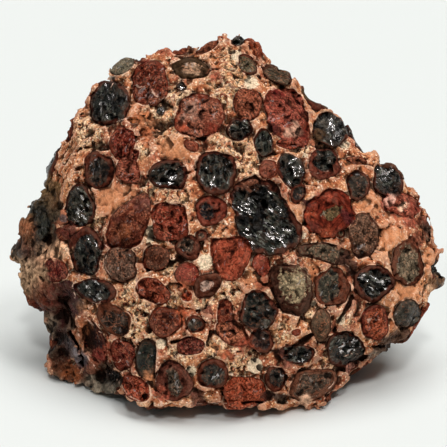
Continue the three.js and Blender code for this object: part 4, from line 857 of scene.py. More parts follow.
def relief(p):
    """Outward displacement in mm."""
    pts = np.stack(p, -1)
    own, q = owners(pts)
    has = own >= 0
    L = balls.looks[np.maximum(own, 0)]
    R = balls.radius[np.maximum(own, 0)].astype(np.float32)
    px, py, front = face_places(p)
    stray = edge_noise(p)
    r, r_core = outline(q, L)
    r = np.where(has, r + stray, 3)
    # clay: broken faces a few millimetres across, chips on them, and lumps
    speck = np.maximum(blobs(SPECKLED, px, py) * front, np.clip(noise(p, 11, 5) * 1.2, 0, 1) * (1 - front))
    calm = blobs(SMOOTH, px, py) * front
    big = 0.42 * noise(p, 7.0, 3) + 0.26 * noise(p, 3.2, 4)
    slabs = facets(p, 4.8, tilt=0.42, step=0.16)
    chips = facets((p[0] + 31, p[1] + 7, p[2] + 19), 1.9, tilt=0.55, step=0.22)
    mid = 0.20 * noise(p, 1.5, 6) + 0.13 * noise(p, 0.85, 7)
    vein = noise(p, 4.6, 9)
    split = -0.8 * np.clip(1 - np.abs(vein) / 0.06, 0, 1) * np.clip(0.5 + noise(p, 9, 10), 0, 1)
    rough = 1 - 0.65 * calm
    left = np.flatnonzero((px < 130) & (front > 0))
    tinted = tinting([c[left] for c in p], px[left], py[left], flank([c[left] for c in p]))
    rough[left] = np.minimum(rough[left], 1 - 0.70 * smooth(tinted[1] * 1.6 - 0.3) * tinted[2])
    clay = big * (1 - 0.3 * calm) + slabs * rough + (0.55 * chips + mid) * (0.80 + 0.25 * speck) * rough + split * rough
    clay = clay + (1 - front) * (0.9 * noise(p, 15, 11) + 0.5 * noise(p, 5, 12))
    # pisoliths: in-plane coordinates, constant along the surface normal, so that broken faces make no loose chips
    inside = smooth((1.0 - r) * R / 0.34)
    rr = np.clip(r, 0, 1)
    dome = L[:, DOME] * R * np.sqrt(np.maximum(0, 1 - rr ** np.maximum(1.5, L[:, FLAT])))
    own3 = (q[:, 0] * R, q[:, 1] * R, L[:, SEED] * 3.7)
    crystal = facets(own3, 2.1, tilt=0.70, step=0.26) + 0.8 * facets(own3, 0.95, tilt=0.7, step=0.25)
    shards = facets(own3, 3.0, tilt=0.50, step=0.20) + 0.55 * facets((own3[0] + 9, own3[1] + 5, own3[2]), 1.25, tilt=0.6, step=0.2)
    grain = 0.20 * noise(own3, 0.8, 13) + 0.20 * noise(own3, 1.6, 14)
    r_core = r_core + 1.6 * stray + 0.10 * noise(p, 2.3, 16)
    rise = 0.32 * np.sin(L[:, SEED] * 7.1) * smooth((L[:, CORE_R] - r_core) * R / 0.5 + 0.5)
    ringed = 0.10 * np.sin(r * 24 + L[:, SEED] + 3.0 * noise(p, 4.0, 17)) * L[:, RINGS]
    tilt = L[:, SEED] * 2.3
    slant = 0.17 * R * (q[:, 0] * np.cos(tilt) + q[:, 1] * np.sin(tilt))
    body = dome + slant + big * 0.6 + L[:, FACET] * crystal * np.clip((1.0 - r) * 4, 0, 1)
    body = body + (0.25 + 0.6 * L[:, GRAIN]) * (1 - L[:, FACET].clip(0, 1) * 0.8) * shards * np.clip((1.0 - r) * 4, 0, 1)
    body = body + L[:, GRAIN] * grain + ringed + rise
    deep = 0.65 + 0.75 * np.clip(noise(p, 2.6, 15) + 0.4, 0, 1)
    groove = -0.85 * L[:, GROOVE] * np.exp(-(((r - 1.0) * R) / 0.36) ** 2) * deep
    d = clay * (1 - inside) + body * inside + np.where(has, groove, 0)
    # ragged where the face breaks off at its outline
    rim = np.exp(-(look_up("edge", (px - MID) * PX, (MID - py) * PX) / 2.6) ** 2) * front
    d = d + rim * (0.55 * noise(p, 2.4, 20) + 0.45 * noise(p, 1.2, 21))
    for x, y, far, high in LUMPS:
        m = np.flatnonzero((np.abs(px - x) < far * 1.8) & (np.abs(py - y) < far * 1.8))
        near = np.exp(-(((px[m] - x) ** 2 + (py[m] - y) ** 2) / far ** 2) ** 2 * 0.7)
        d[m] += high * near * front[m]
    d = d - cracks(px, py, p) * front
    d = np.where(d > 0, 1.5 * np.tanh(d / 1.5) * front + 1.15 * np.tanh(d / 1.15) * (1 - front), d)
    return np.clip(d, -2.5, 2.3).astype(np.float32)


# ---- the fine mesh ---------------------------------------------------------------------------------------------
STEP = 0.37
FACE, BACK = ((118000, 77000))  # triangles kept on the main face, and on all the rest


def stretch(a, old, new, axis):
    t = np.clip((new - old[0]) / (old[1] - old[0]), 0, len(old) - 1.001)
    i = t.astype(int)
    f = (t - i).astype(np.float32)
    shape = [1, 1, 1]
    shape[axis] = len(f)
    f = f.reshape(shape)
    return np.take(a, i, axis) * (1 - f) + np.take(a, i + 1, axis) * f


axes_f = grid(STEP)
fine = coarse
for ax in range(3):
    fine = stretch(fine, axes_c[ax], axes_f[ax], ax)
band = np.argwhere(np.abs(fine) < 2.9)
for i in range(0, len(band), 400000):
    b = band[i:i + 400000]
    p = (axes_f[0][b[:, 0]], axes_f[1][b[:, 1]], axes_f[2][b[:, 2]])
    f = base_field(*p) - relief(p)
    fine[b[:, 0], b[:, 1], b[:, 2]] = f
flat = (0.25 - axes_f[2])[None, None, :].astype(np.float32)
fine = np.maximum(fine, flat)
fine[:, :, 0] = 1
V0, Q0 = surface(fine, LOW, STEP)

# only the stone itself: no loose specks
label = np.arange(len(V0))
edges = np.concatenate([Q0[:, [0, 1]], Q0[:, [1, 2]], Q0[:, [2, 3]], Q0[:, [3, 0]]])
while True:
    low = np.minimum(label[edges[:, 0]], label[edges[:, 1]])
    new = label.copy()
    np.minimum.at(new, edges[:, 0], low)
    np.minimum.at(new, edges[:, 1], low)
    new = new[new]
    new = new[new]
    if (new == label).all():
        break
    label = new
ids, counts = np.unique(label, return_counts=True)
keep = label == ids[counts.argmax()]
print("parts of the surface:", len(ids), "kept", int(keep.sum()), "of", len(V0))
Q0 = Q0[keep[Q0[:, 0]]]
used = np.zeros(len(V0), bool)
used[Q0.ravel()] = True
renum = np.cumsum(used) - 1
V0, Q0 = V0[used], renum[Q0]


def to_row(points):
    """Field millimetres to row-frame metres."""
    return (points + np.array([CENTRE_X, CENTRE_Y, -0.25])) * 0.001


def to_field(points):
    return points * 1000 - np.array([CENTRE_X, CENTRE_Y, -0.25])


def mesh_of(name, points, faces):
    me = bpy.data.meshes.new(name)
    n, m = faces.shape
    me.vertices.add(len(points))
    me.vertices.foreach_set("co", points.astype(np.float32).ravel())
    me.loops.add(n * m)
    me.loops.foreach_set("vertex_index", faces.astype(np.int32).ravel())
    me.polygons.add(n)
    me.polygons.foreach_set("loop_start", np.arange(0, n * m, m, dtype=np.int32))
    me.update(calc_edges=True)
    return me


# Each quad is split along its shorter diagonal, then edges are collapsed where the stone is plainest until the piece is
# under its limit. The main face and the rest of the stone each keep a share of their own: thinned together, with the
# main face held back by a vertex group, the back would lose nearly everything first.
d1 = np.linalg.norm(V0[Q0[:, 0]] - V0[Q0[:, 2]], axis=1)
d2 = np.linalg.norm(V0[Q0[:, 1]] - V0[Q0[:, 3]], axis=1)
a = (d1 <= d2)[:, None]
T0 = np.concatenate([np.where(a, Q0[:, [0, 1, 2]], Q0[:, [0, 1, 3]]), np.where(a, Q0[:, [0, 2, 3]], Q0[:, [1, 2, 3]])])
raw = mesh_of("raw", to_row(V0), T0)
rock = bpy.data.objects.new("raw", raw)
bpy.context.scene.collection.objects.link(rock)
group = rock.vertex_groups.new(name="plain")
_, _, front_v = face_places(V0.T)
behind = np.where(front_v < 0.5)[0]
group.add([int(i) for i in behind], 1.0, "REPLACE")
back_faces = int(((front_v < 0.5)[T0].sum(1) >= 2).sum())
face_faces = len(T0) - back_faces
left_over = len(T0)
for name, have, want, other in (("thin_back", back_faces, BACK, False), ("thin_face", face_faces, FACE, True)):
    if have > want:
        mod = rock.modifiers.new(name, "DECIMATE")
        mod.ratio = (left_over - have + want) / left_over
        mod.vertex_group = "plain"
        mod.invert_vertex_group = other
        mod.vertex_group_factor = 3.0
        mod.use_collapse_triangulate = True
        left_over = left_over - have + want
bpy.context.view_layer.update()
dg = bpy.context.evaluated_depsgraph_get()
thin = bpy.data.meshes.new_from_object(rock.evaluated_get(dg))
# the thinning can leave a tear a face or two wide: closed here, so that the stone has no open edge
bm = bmesh.new()
bm.from_mesh(thin)
bad_before = [sum(e.is_boundary for e in bm.edges), sum(len(e.link_faces) > 2 for e in bm.edges)]
for _ in range(8):
    bad = [e for e in bm.edges if len(e.link_faces) != 2]
    if not bad:
        break
    # the faces round a bad edge are cut away, and the hole is closed with a fan to a new point, whose edges are all new
    cut = list({f for e in bad for v in e.verts for f in v.link_faces})
    bmesh.ops.delete(bm, geom=cut, context="FACES")
    ring = [e for e in bm.edges if e.is_boundary]
    bmesh.ops.poke(bm, faces=bmesh.ops.holes_fill(bm, edges=ring, sides=0)["faces"])
    bmesh.ops.delete(bm, geom=[e for e in bm.edges if not e.link_faces], context="EDGES")
# one skin only: thinning also leaves flat pairs of faces and specks that hang from a single point of it
bm.faces.index_update()
seen = np.zeros(len(bm.faces), bool)
shells = []
for first in bm.faces:
    if seen[first.index]:
        continue
    seen[first.index] = True
    shell = [first]
    for f in shell:
        for e in f.edges:
            for g in e.link_faces:
                if not seen[g.index]:
                    seen[g.index] = True
                    shell.append(g)
    shells.append(shell)
shells.sort(key=len)
loose = [f for shell in shells[:-1] for f in shell]
if loose:
    bmesh.ops.delete(bm, geom=loose, context="FACES")
bmesh.ops.delete(bm, geom=[v for v in bm.verts if not v.link_faces], context="VERTS")
bmesh.ops.recalc_face_normals(bm, faces=bm.faces[:])
bm.verts.index_update()
print("shells:", len(shells), "faces dropped with the small ones:", len(loose), "repeated faces left:",
      len(bm.faces) - len({frozenset(v.index for v in f.verts) for f in bm.faces}))
print("edges with one face and with more than two, after thinning:", bad_before, "after repair:",
      [sum(e.is_boundary for e in bm.edges), sum(len(e.link_faces) > 2 for e in bm.edges)], "faces not triangles:",
      sum(len(f.verts) != 3 for f in bm.faces), "volume cm3: %.1f" % (bm.calc_volume(signed=True) * 1e6))
bm.to_mesh(thin)
bm.free()
nv, nf = len(thin.vertices), len(thin.polygons)
V1 = np.empty(nv * 3, np.float32)
thin.vertices.foreach_get("co", V1)
V1 = to_field(V1.reshape(-1, 3).astype(float))
T1 = np.empty(nf * 3, np.int32)
thin.loops.foreach_get("vertex_index", T1)
T1 = T1.reshape(-1, 3)
bpy.data.objects.remove(rock)
V1[:, 2] = np.maximum(V1[:, 2], 0.25)
me = mesh_of("bauxite_stone", to_row(V1), T1)
stone = bpy.data.objects.new("bauxite_stone", me)
bpy.context.scene.collection.objects.link(stone)
me.polygons.foreach_set("use_smooth", np.ones(nf, bool))
me.set_sharp_from_angle(angle=math.radians(48))
front_1 = face_places(V1.T)[2]
back_1 = (front_1 < 0.5)[T1].sum(1) >= 2
side_1 = np.linalg.norm(V1[T1[:, 0]] - V1[T1[:, 1]], axis=1)
print("stone:", nv, "vertices,", nf, "triangles from", len(T0), "| behind", int(back_1.sum()), "of", back_faces,
      "edges mm median/99/max", [round(float(v), 2) for v in np.percentile(side_1[back_1], (50, 99, 100))],
      "| main face", int((~back_1).sum()), "of", face_faces,
      [round(float(v), 2) for v in np.percentile(side_1[~back_1], (50, 99, 100))])


# ---- what the material reads ------------------------------------------------------------------------------------
mid = V1[T1].mean(1)
own, _ = owners(mid)
corner = V1[T1.ravel()]
o3 = np.repeat(own, 3)
has = o3 >= 0
k3 = np.maximum(o3, 0)
place = np.einsum("nij,nj->ni", balls.map[k3], corner - balls.centre[k3])
place[~has] = (9, 9, 9)
look = balls.looks[np.maximum(own, 0)]


def give(name, kind, domain, values):
    at = me.attributes.new(name, kind, domain)
    field = {"FLOAT": "value", "FLOAT_VECTOR": "vector"}[kind]
    at.data.foreach_set(field, np.ascontiguousarray(values, dtype=np.float32).ravel())


give("own_place", "FLOAT_VECTOR", "CORNER", place)
give("core_colour", "FLOAT_VECTOR", "FACE", look[:, CORE])
give("rim_colour", "FLOAT_VECTOR", "FACE", look[:, RIM])
r3, core3 = outline(place, balls.looks[k3])
stray3 = edge_noise(corner.T)
r3 = np.where(has, r3 + stray3, 9)
core3 = np.where(has, core3 + 1.6 * stray3 + 0.10 * noise(corner.T, 2.3, 16) - balls.looks[k3, CORE_R], 9)
give("reach", "FLOAT", "CORNER", r3)
give("core_reach", "FLOAT", "CORNER", core3)
give("finish", "FLOAT_VECTOR", "FACE", np.stack([look[:, GLOSS], look[:, GRAIN], look[:, FACET]], -1))
give("pattern", "FLOAT_VECTOR", "FACE", np.stack([look[:, SEED], look[:, RINGS], look[:, MOTTLE]], -1))
give("radius", "FLOAT", "FACE", np.where(own >= 0, balls.radius[np.maximum(own, 0)], 1.0))
pv = V1.T
px, py, front = face_places(pv)
speck = np.maximum(blobs(SPECKLED, px, py) * front, np.clip(noise(pv, 11, 5) * 1.2, 0, 1) * (1 - front))
cream_and_highlight = blobs(CREAM_AND_HIGHLIGHTS, px, py) * front + (1 - front) * np.clip(noise(pv, 6, 21) * 1.6 - 0.75, 0, 0.8)
calm = blobs(SMOOTH, px, py) * front
patina = np.maximum(blobs(PATINA, px, py), (1 - front) * np.clip(0.35 + 0.9 * noise(pv, 16, 22), 0.05, 1))
give("zones", "FLOAT_VECTOR", "POINT", np.stack([speck, cream_and_highlight, calm], -1))
give("patina", "FLOAT", "POINT", patina)
tint, tinted, tint_shine = tinting(pv, px, py, np.where(px < 130, flank(pv), front))
give("tint", "FLOAT_VECTOR", "POINT", tint)
give("tinted", "FLOAT", "POINT", tinted)
give("tint_shine", "FLOAT", "POINT", tint_shine)
give("sparkle", "FLOAT", "POINT", np.maximum(blobs(GLINTS, px, py) * front, (1 - front) * np.clip(noise(pv, 5, 36), 0, 0.6)))
# distance to the pale seams, and to the painted highlights along the lower edge
vein = np.full(nv, 9.0)
vx, vy = px + 1.6 * noise(pv, 1.9, 33), py + 1.6 * noise(pv, 1.9, 34)
for line, strength in VEINS_AND_EDGE_HIGHLIGHTS:
    for (x0, y0), (x1, y1) in zip(line[:-1], line[1:]):
        ex, ey = x1 - x0, y1 - y0
        t = np.clip(((vx - x0) * ex + (vy - y0) * ey) / (ex * ex + ey * ey), 0, 1)
        vein = np.minimum(vein, np.hypot(vx - x0 - t * ex, vy - y0 - t * ey) / strength)
give("vein", "FLOAT", "POINT", np.where(front > 0.5, vein, 9))
level = base_field(*pv)
give("level", "FLOAT", "POINT", level)


# how much each vertex stands out of its surroundings, from -1 in a groove to 1 on an edge; the material uses it to
# paint shade into the grooves and highlight onto the edges
e0 = np.concatenate([T1[:, [0, 1]], T1[:, [1, 2]], T1[:, [2, 0]]])
deg = np.bincount(e0.ravel(), minlength=nv).astype(float)[:, None]


def around(values):
    total = np.zeros_like(values)
    for a, b in ((0, 1), (1, 0)):
        for c in range(values.shape[1]):
            total[:, c] += np.bincount(e0[:, a], values[e0[:, b], c], nv)
    return total / deg


fn = np.cross(V1[T1[:, 1]] - V1[T1[:, 0]], V1[T1[:, 2]] - V1[T1[:, 0]])
vn = np.zeros((nv, 3))
for c in range(3):
    for k in range(3):
        vn[:, c] += np.bincount(T1[:, k], fn[:, c], nv)
vn /= np.maximum(1e-9, np.linalg.norm(vn, axis=1, keepdims=True))
near = around(V1)
wide = around(around(around(around(near))))
proud = ((V1 - near) * vn).sum(1) * 4 + ((V1 - wide) * vn).sum(1) * 1.6
proud = 0.5 * proud + 0.5 * around(proud[:, None])[:, 0]
give("proud", "FLOAT", "POINT", np.clip(proud, -1.5, 1.5))

# ---- a flat map of the surface, for baking: five charts, each seen along one direction -----------------------------
ways = np.array([W_AXIS, (0, 0.95, 0.30), (-0.97, 0, 0.25), (0.97, 0, 0.25), (0, 0, -1)], float)
ways /= np.linalg.norm(ways, axis=1)[:, None]
slope = np.stack([base_field(*(mid + d).T) - base_field(*(mid - d).T) for d in np.eye(3) * 1.5], -1)
slope /= np.maximum(1e-6, np.linalg.norm(slope, axis=1))[:, None]
chart = (slope @ ways.T * (1.20, 1.10, 1.0, 1.0, 1.20)).argmax(1)
chart[mid[:, 2] < 0.45] = 4
flat_uv = np.zeros((nf, 3, 2))
corners3 = corner.reshape(nf, 3, 3)
boxes = []
for k, way in enumerate(ways):
    along = np.array((1.0, 0, 0)) if k == 4 else np.cross((0, 0, 1), way)
    along /= np.linalg.norm(along)
    up_axis = np.cross(way, along)
    sel = chart == k
    uv = np.stack([corners3[sel] @ along, corners3[sel] @ up_axis], -1) * (0.5 if k == 4 else 1.0)
    uv -= uv.reshape(-1, 2).min(0)
    boxes.append(uv.reshape(-1, 2).max(0))
    flat_uv[sel] = uv
gap = 2.0
width = max(boxes[0][0], boxes[1][0]) + gap
y_left, y_right = gap, gap
for k in (0, 1):
    flat_uv[chart == k] += (gap, y_left)
    y_left += boxes[k][1] + gap
for k in (2, 3, 4):
    flat_uv[chart == k] += (width + gap, y_right)
    y_right += boxes[k][1] + gap
span = max(width + 2 * gap + max(b[0] for b in boxes[2:]), y_left, y_right)
layer = me.uv_layers.new(name="OFBake")
layer.uv.foreach_set("vector", np.ascontiguousarray(flat_uv / span, dtype=np.float32).ravel())


# ---- the material ---------------------------------------------------------------------------------------------
class Graph:
    """Short names for making one material's nodes."""

    def __init__(self, name):
        self.mat = bpy.data.materials.new(name)
        self.mat.use_nodes = True
        self.nt = self.mat.node_tree
        self.nt.nodes.clear()

    def put(self, socket, value):
        if isinstance(value, bpy.types.NodeSocket):
            self.nt.links.new(value, socket)
        elif value is not None:
            if isinstance(value, tuple) and len(value) == 3 and socket.type == "RGBA":
                value = (*value, 1.0)
            socket.default_value = value

    def new(self, kind, **settings):
        n = self.nt.nodes.new("ShaderNode" + kind)
        for key, value in settings.items():
            setattr(n, key, value)
        return n

    def m(self, op, a, b=None, c=None, clamp=False):
        n = self.new("Math", operation=op, use_clamp=clamp)
        for i, v in enumerate((a, b, c)):
            if v is not None:
                self.put(n.inputs[i], v)
        return n.outputs[0]

    def mul(self, *values):
        out = values[0]
        for v in values[1:]:
            out = self.m("MULTIPLY", out, v)
        return out

    def vec(self, op, a, b=None, out=0):
        n = self.new("VectorMath", operation=op)
        self.put(n.inputs[0], a)
        if b is not None:
            self.put(n.inputs[1], b)
        return n.outputs[out]

    def ramp(self, x, lo, hi, to0=0.0, to1=1.0):
        n = self.new("MapRange", interpolation_type="SMOOTHSTEP")
        for i, v in enumerate((x, lo, hi, to0, to1)):
            self.put(n.inputs[i], v)
        return n.outputs[0]

    def mix(self, f, a, b, kind="MIX"):
        n = self.new("Mix", data_type="RGBA", blend_type=kind)
        self.put(n.inputs[0], f)
        self.put(n.inputs[6], a)
        self.put(n.inputs[7], b)
        return n.outputs[2]

    def mixf(self, f, a, b):
        n = self.new("Mix", data_type="FLOAT")
        self.put(n.inputs[0], f)
        self.put(n.inputs[2], a)
        self.put(n.inputs[3], b)
        return n.outputs[0]

    def grey(self, v):
        n = self.new("CombineColor")
        for i in range(3):
            self.put(n.inputs[i], v)
        return n.outputs[0]

    def shade(self, colour, factor):
        return self.mix(1.0, colour, self.grey(factor), "MULTIPLY")

    def attr(self, name, out="Vector"):
        return self.new("Attribute", attribute_name=name).outputs[out]

    def split(self, v):
        n = self.new("SeparateXYZ")
        self.put(n.inputs[0], v)
        return n.outputs[0], n.outputs[1], n.outputs[2]

    def join(self, x, y, z):
        n = self.new("CombineXYZ")
        for i, v in enumerate((x, y, z)):
            self.put(n.inputs[i], v)
        return n.outputs[0]

    def noise(self, p, size, detail=3.0, rough=0.55, out=0, warp=0.0):
        """Noise with lumps of that size in millimetres, for places in metres."""
        n = self.new("TexNoise")
        self.put(n.inputs["Vector"], p)
        n.inputs["Scale"].default_value = 1000.0 / size
        n.inputs["Detail"].default_value = detail
        n.inputs["Roughness"].default_value = rough
        n.inputs["Distortion"].default_value = warp
        return n.outputs[out]

    def cells(self, p, size, feature="F1", rand=1.0):
        n = self.new("TexVoronoi", feature=feature)
        self.put(n.inputs["Vector"], p)
        n.inputs["Scale"].default_value = 1000.0 / size
        n.inputs["Randomness"].default_value = rand
        return n

    def palette(self, x, stops):
        """Flat colours by the value of x: each stop is where a colour starts, and that colour."""
        n = self.new("ValToRGB")
        n.color_ramp.interpolation = "CONSTANT"
        e = n.color_ramp.elements
        while len(e) < len(stops):
            e.new(1.0)
        for i, (at, c) in enumerate(stops):
            e[i].position = at
            e[i].color = (*c, 1.0)
        self.put(n.inputs[0], x)
        return n.outputs[0]


def stone_material(name, ior):
    g = Graph(name)
    m, mul, mix, ramp, mixf, shade = g.m, g.mul, g.mix, g.ramp, g.mixf, g.shade
    P = g.new("TexCoord").outputs["Object"]
    place = g.attr("own_place")
    r = g.attr("reach", "Fac")
    core_far = g.attr("core_reach", "Fac")
    tint_c, tinted, vein_and_highlight_far = g.attr("tint"), g.attr("tinted", "Fac"), g.attr("vein", "Fac")
    core_c, rim_c = g.attr("core_colour"), g.attr("rim_colour")
    gloss, grain, facet = g.split(g.attr("finish"))
    seed, rings, mottle = g.split(g.attr("pattern"))
    speck_z, cream_and_highlight_z, calm_z = g.split(g.attr("zones"))
    patina_z = g.attr("patina", "Fac")
    level = g.attr("level", "Fac")
    proud = g.attr("proud", "Fac")
    radius = g.attr("radius", "Fac")

    n_wide = g.noise(P, 17.0, 2.0)
    n_big = g.noise(P, 6.0, 3.0, 0.6)
    n_mid = g.noise(P, 2.3, 4.0, 0.62)
    n_small = g.noise(P, 1.0, 3.0, 0.65)
    n_fine = g.noise(P, 0.5, 2.0, 0.6)
    warp = g.vec("SUBTRACT", g.noise(P, 1.6, 3.0, 0.6, out=1), (0.5, 0.5, 0.5))
    Pw = g.vec("ADD", P, g.vec("MULTIPLY", warp, (0.0011, 0.0011, 0.0011)))
    grains = g.cells(Pw, 0.80)
    r1, r2, r3 = g.split(grains.outputs["Color"])
    gap = g.cells(Pw, 0.80, "DISTANCE_TO_EDGE").outputs["Distance"]
    tiny = g.cells(P, 0.42)
    t1, t2, t3 = g.split(tiny.outputs["Color"])

    # how far out in its pisolith
    out_mm = mul(m("SUBTRACT", r, 1.0), radius)
    inside = ramp(out_mm, 0.04, -0.08)
    fuzz = m("SUBTRACT", 1.0, gloss, clamp=True)
    core_m = m("ADD", core_far, mul(m("SUBTRACT", n_mid, 0.5), 0.20))
    core_m = m("ADD", core_m, mul(m("SUBTRACT", r2, 0.5), fuzz, 0.30))
    core_m = ramp(core_m, 0.07, -0.07)

    # ---- clay between the pisoliths
    clay = mix(ramp(n_big, 0.38, 0.64), (0.370, 0.132, 0.058), (0.480, 0.220, 0.104))
    clay = mix(mul(ramp(n_wide, 0.46, 0.62), 0.8), clay, (0.350, 0.118, 0.072))
    clay = mix(mul(calm_z, 0.85), clay, mix(ramp(n_mid, 0.30, 0.70), (0.440, 0.180, 0.082), (0.640, 0.315, 0.160)))
    rusty = mul(ramp(n_mid, 0.50, 0.64), m("SUBTRACT", 0.85, mul(calm_z, 0.65)))
    clay = mix(rusty, clay, (0.200, 0.050, 0.024))
    dusky = mul(ramp(g.noise(P, 3.6, 4.0, 0.65, warp=0.6), 0.54, 0.68), m("SUBTRACT", 0.85, mul(calm_z, 0.60)))
    clay = mix(dusky, clay, (0.070, 0.026, 0.015))
    lively = mul(ramp(m("ADD", speck_z, m("SUBTRACT", n_small, 0.5)), 0.10, 0.70), m("SUBTRACT", 1.0, mul(calm_z, 0.9)))
    granular = g.palette(r1, [
        (0.0, (0.460, 0.200, 0.095)), (0.14, (0.640, 0.400, 0.215)), (0.40, (0.540, 0.290, 0.150)),
        (0.52, (0.800, 0.620, 0.400)), (0.68, (0.500, 0.215, 0.120)), (0.77, (0.700, 0.480, 0.290)),
        (0.86, (0.170, 0.045, 0.026)), (0.94, (0.016, 0.010, 0.008)),
    ])
    granular = shade(granular, ramp(gap, 0.0, 0.14, 0.50, 1.10))
    clay = mix(mul(lively, 0.92), clay, granular)
    loose = mul(ramp(t2, 0.76, 0.78), m("SUBTRACT", 0.80, mul(calm_z, 0.72)))
    clay = mix(loose, clay, g.palette(t3, [
        (0.0, (0.720, 0.500, 0.300)), (0.38, (0.160, 0.044, 0.024)), (0.70, (0.014, 0.009, 0.007)),
        (0.82, (0.820, 0.700, 0.540))]))
    # cream patches, and painted highlight on two ledges
    cream_and_highlight = ramp(m("ADD", cream_and_highlight_z, mul(m("SUBTRACT", n_small, 0.5), 0.9)), 0.40, 0.60)
    clay = mix(cream_and_highlight, clay, mix(n_small, (0.460, 0.360, 0.220), (0.800, 0.720, 0.560)))
    vein = m("ABSOLUTE", m("SUBTRACT", g.noise(P, 5.2, 3.0, 0.55), 0.5))
    vein = mul(ramp(vein, 0.012, 0.003), ramp(n_big, 0.44, 0.56))
    clay = mix(mul(vein, 0.75), clay, (0.700, 0.500, 0.370))
    clay = shade(clay, m("ADD", 1.04, mul(m("SUBTRACT", ramp(n_fine, 0.25, 0.75), 0.5), m("SUBTRACT", 0.80, mul(calm_z, 0.45)))))

    # ---- a pisolith: core and rim, each mottled, granular or finely shelled
    swirl = m("MULTIPLY_ADD", m("SINE", m("ADD", mul(r, 30.0), m("ADD", seed, mul(n_big, 14.0)))), 0.5, 0.5)
    lines = ramp(swirl, 0.70, 0.98)
    arcs = m("MULTIPLY_ADD", m("SINE", m("ADD", mul(r, 46.0), m("ADD", seed, mul(n_mid, 18.0)))), 0.5, 0.5)
    rim = mix(mul(lines, rings, 0.8), rim_c, shade(rim_c, 0.30))
    rim = shade(rim, ramp(n_small, 0.30, 0.70, 0.45, 1.45))
    core = shade(core_c, ramp(n_mid, 0.36, 0.64, 0.40, 1.60))
    knot = mul(ramp(g.noise(P, 0.8, 3.0, 0.6), 0.50, 0.60), mottle)
    core = mix(mul(knot, 0.90), core, shade(core_c, 0.16))
    light = mul(ramp(g.noise(P, 1.3, 4.0, 0.7, warp=0.8), 0.54, 0.66), mottle)
    core = mix(mul(light, 0.65), core, g.vec("ADD", mix(1.0, core_c, (1.9, 1.8, 1.7), "MULTIPLY"), (0.018, 0.008, 0.005)))
    core = mix(mul(lines, m("ADD", mul(rings, 0.7), 0.14)), core, shade(core_c, 0.25))
    core = mix(mul(ramp(arcs, 0.84, 0.98), ramp(n_big, 0.40, 0.55), m("SUBTRACT", 1.0, gloss), 0.55), core, g.vec("ADD", core_c, (0.180, 0.062, 0.034)))
    lumps = shade(core_c, g.palette(r1, [
        (0.0, (0.40, 0.40, 0.40)), (0.25, (0.85, 0.85, 0.85)), (0.50, (1.40, 1.40, 1.40)), (0.70, (0.10, 0.10, 0.10)),
        (0.84, (2.3, 2.3, 2.3))]))
    lumps = shade(lumps, ramp(gap, 0.0, 0.14, 0.25, 1.15))
    core = mix(mul(grain, 0.75), core, lumps)
    sand = shade(core_c, g.palette(t3, [
        (0.0, (0.14, 0.14, 0.14)), (0.24, (0.75, 0.75, 0.75)), (0.50, (1.30, 1.30, 1.30)), (0.70, (0.35, 0.35, 0.35)), (0.84, (1.7, 1.7, 1.7))]))
    sand = mix(mul(ramp(t3, 0.86, 0.88), 0.85), sand, g.vec("ADD", shade(core_c, 1.5), (0.085, 0.066, 0.052)))
    core = mix(m("MULTIPLY", ramp(grain, 0.12, 0.60), 0.74), core, sand)
    split = m("ABSOLUTE", m("SUBTRACT", g.noise(P, 3.6, 2.0, 0.5), 0.5))
    split = mul(ramp(split, 0.016, 0.004), m("SUBTRACT", 1.0, mul(gloss, 0.85)), ramp(n_wide, 0.42, 0.52))
    core = mix(mul(split, 0.55), core, (0.420, 0.190, 0.110))
    dull = m("SUBTRACT", 1.0, gloss, clamp=True)
    fleck = mul(ramp(t2, 0.90, 0.92), dull)
    core = mix(mul(fleck, 0.60), core, g.vec("ADD", core_c, (0.250, 0.105, 0.060)))
    # painted shade: near-black specks standing for small pits in the dull cores
    pit_shade = mul(ramp(t1, 0.86, 0.88), dull)
    core = mix(mul(pit_shade, 0.75), core, shade(core_c, 0.08))
    # broken glassy faces: a long-grained set of cells, turned a different way in each pisolith
    turn = mul(seed, 2.7)
    px, py, pz = g.split(place)
    cs, sn = m("COSINE", turn), m("SINE", turn)
    along = m("ADD", mul(px, cs), mul(py, sn))
    across = m("SUBTRACT", mul(py, cs), mul(px, sn))
    glass_p = g.join(mul(along, radius, 0.00044), mul(across, radius, 0.00100), mul(seed, 0.01))
    glass_p = g.vec("ADD", glass_p, g.vec("MULTIPLY", warp, (0.0018, 0.0018, 0.0)))
    shells = g.cells(glass_p, 1.05)
    s1, s2, s3 = g.split(shells.outputs["Color"])
    shell_gap = g.cells(glass_p, 1.05, "DISTANCE_TO_EDGE").outputs["Distance"]
    splinters = g.cells(glass_p, 0.44)
    u1, u2, u3 = g.split(splinters.outputs["Color"])
    cluster = ramp(g.noise(glass_p, 2.6, 2.0, 0.5), 0.44, 0.62)
    sparkle = g.attr("sparkle", "Fac")
    mossy = mul(ramp(g.noise(P, 3.0, 3.0, 0.6), 0.50, 0.64), facet)
    core = mix(mul(mossy, 0.30), core, g.vec("ADD", core_c, (0.012, 0.024, 0.018)))
    # painted sheen and glints: grey-green and pale streaks added to the glassy cores' colour where they glitter
    core = mix(mul(sparkle, facet, ramp(u1, 0.42, 0.64), 0.42), core, g.vec("ADD", core_c, (0.060, 0.085, 0.080)))
    core = mix(mul(ramp(u3, 0.82, 0.90), facet, ramp(cluster, 0.0, 0.6, 0.25, 0.75)), core, g.vec("ADD", core_c, (0.105, 0.140, 0.130)))
    core = mix(mul(ramp(m("ADD", s1, mul(m("SUBTRACT", cluster, 0.5), 0.5)), 0.66, 0.98), facet, 0.42), core, g.vec("ADD", core_c, (0.030, 0.042, 0.038)))
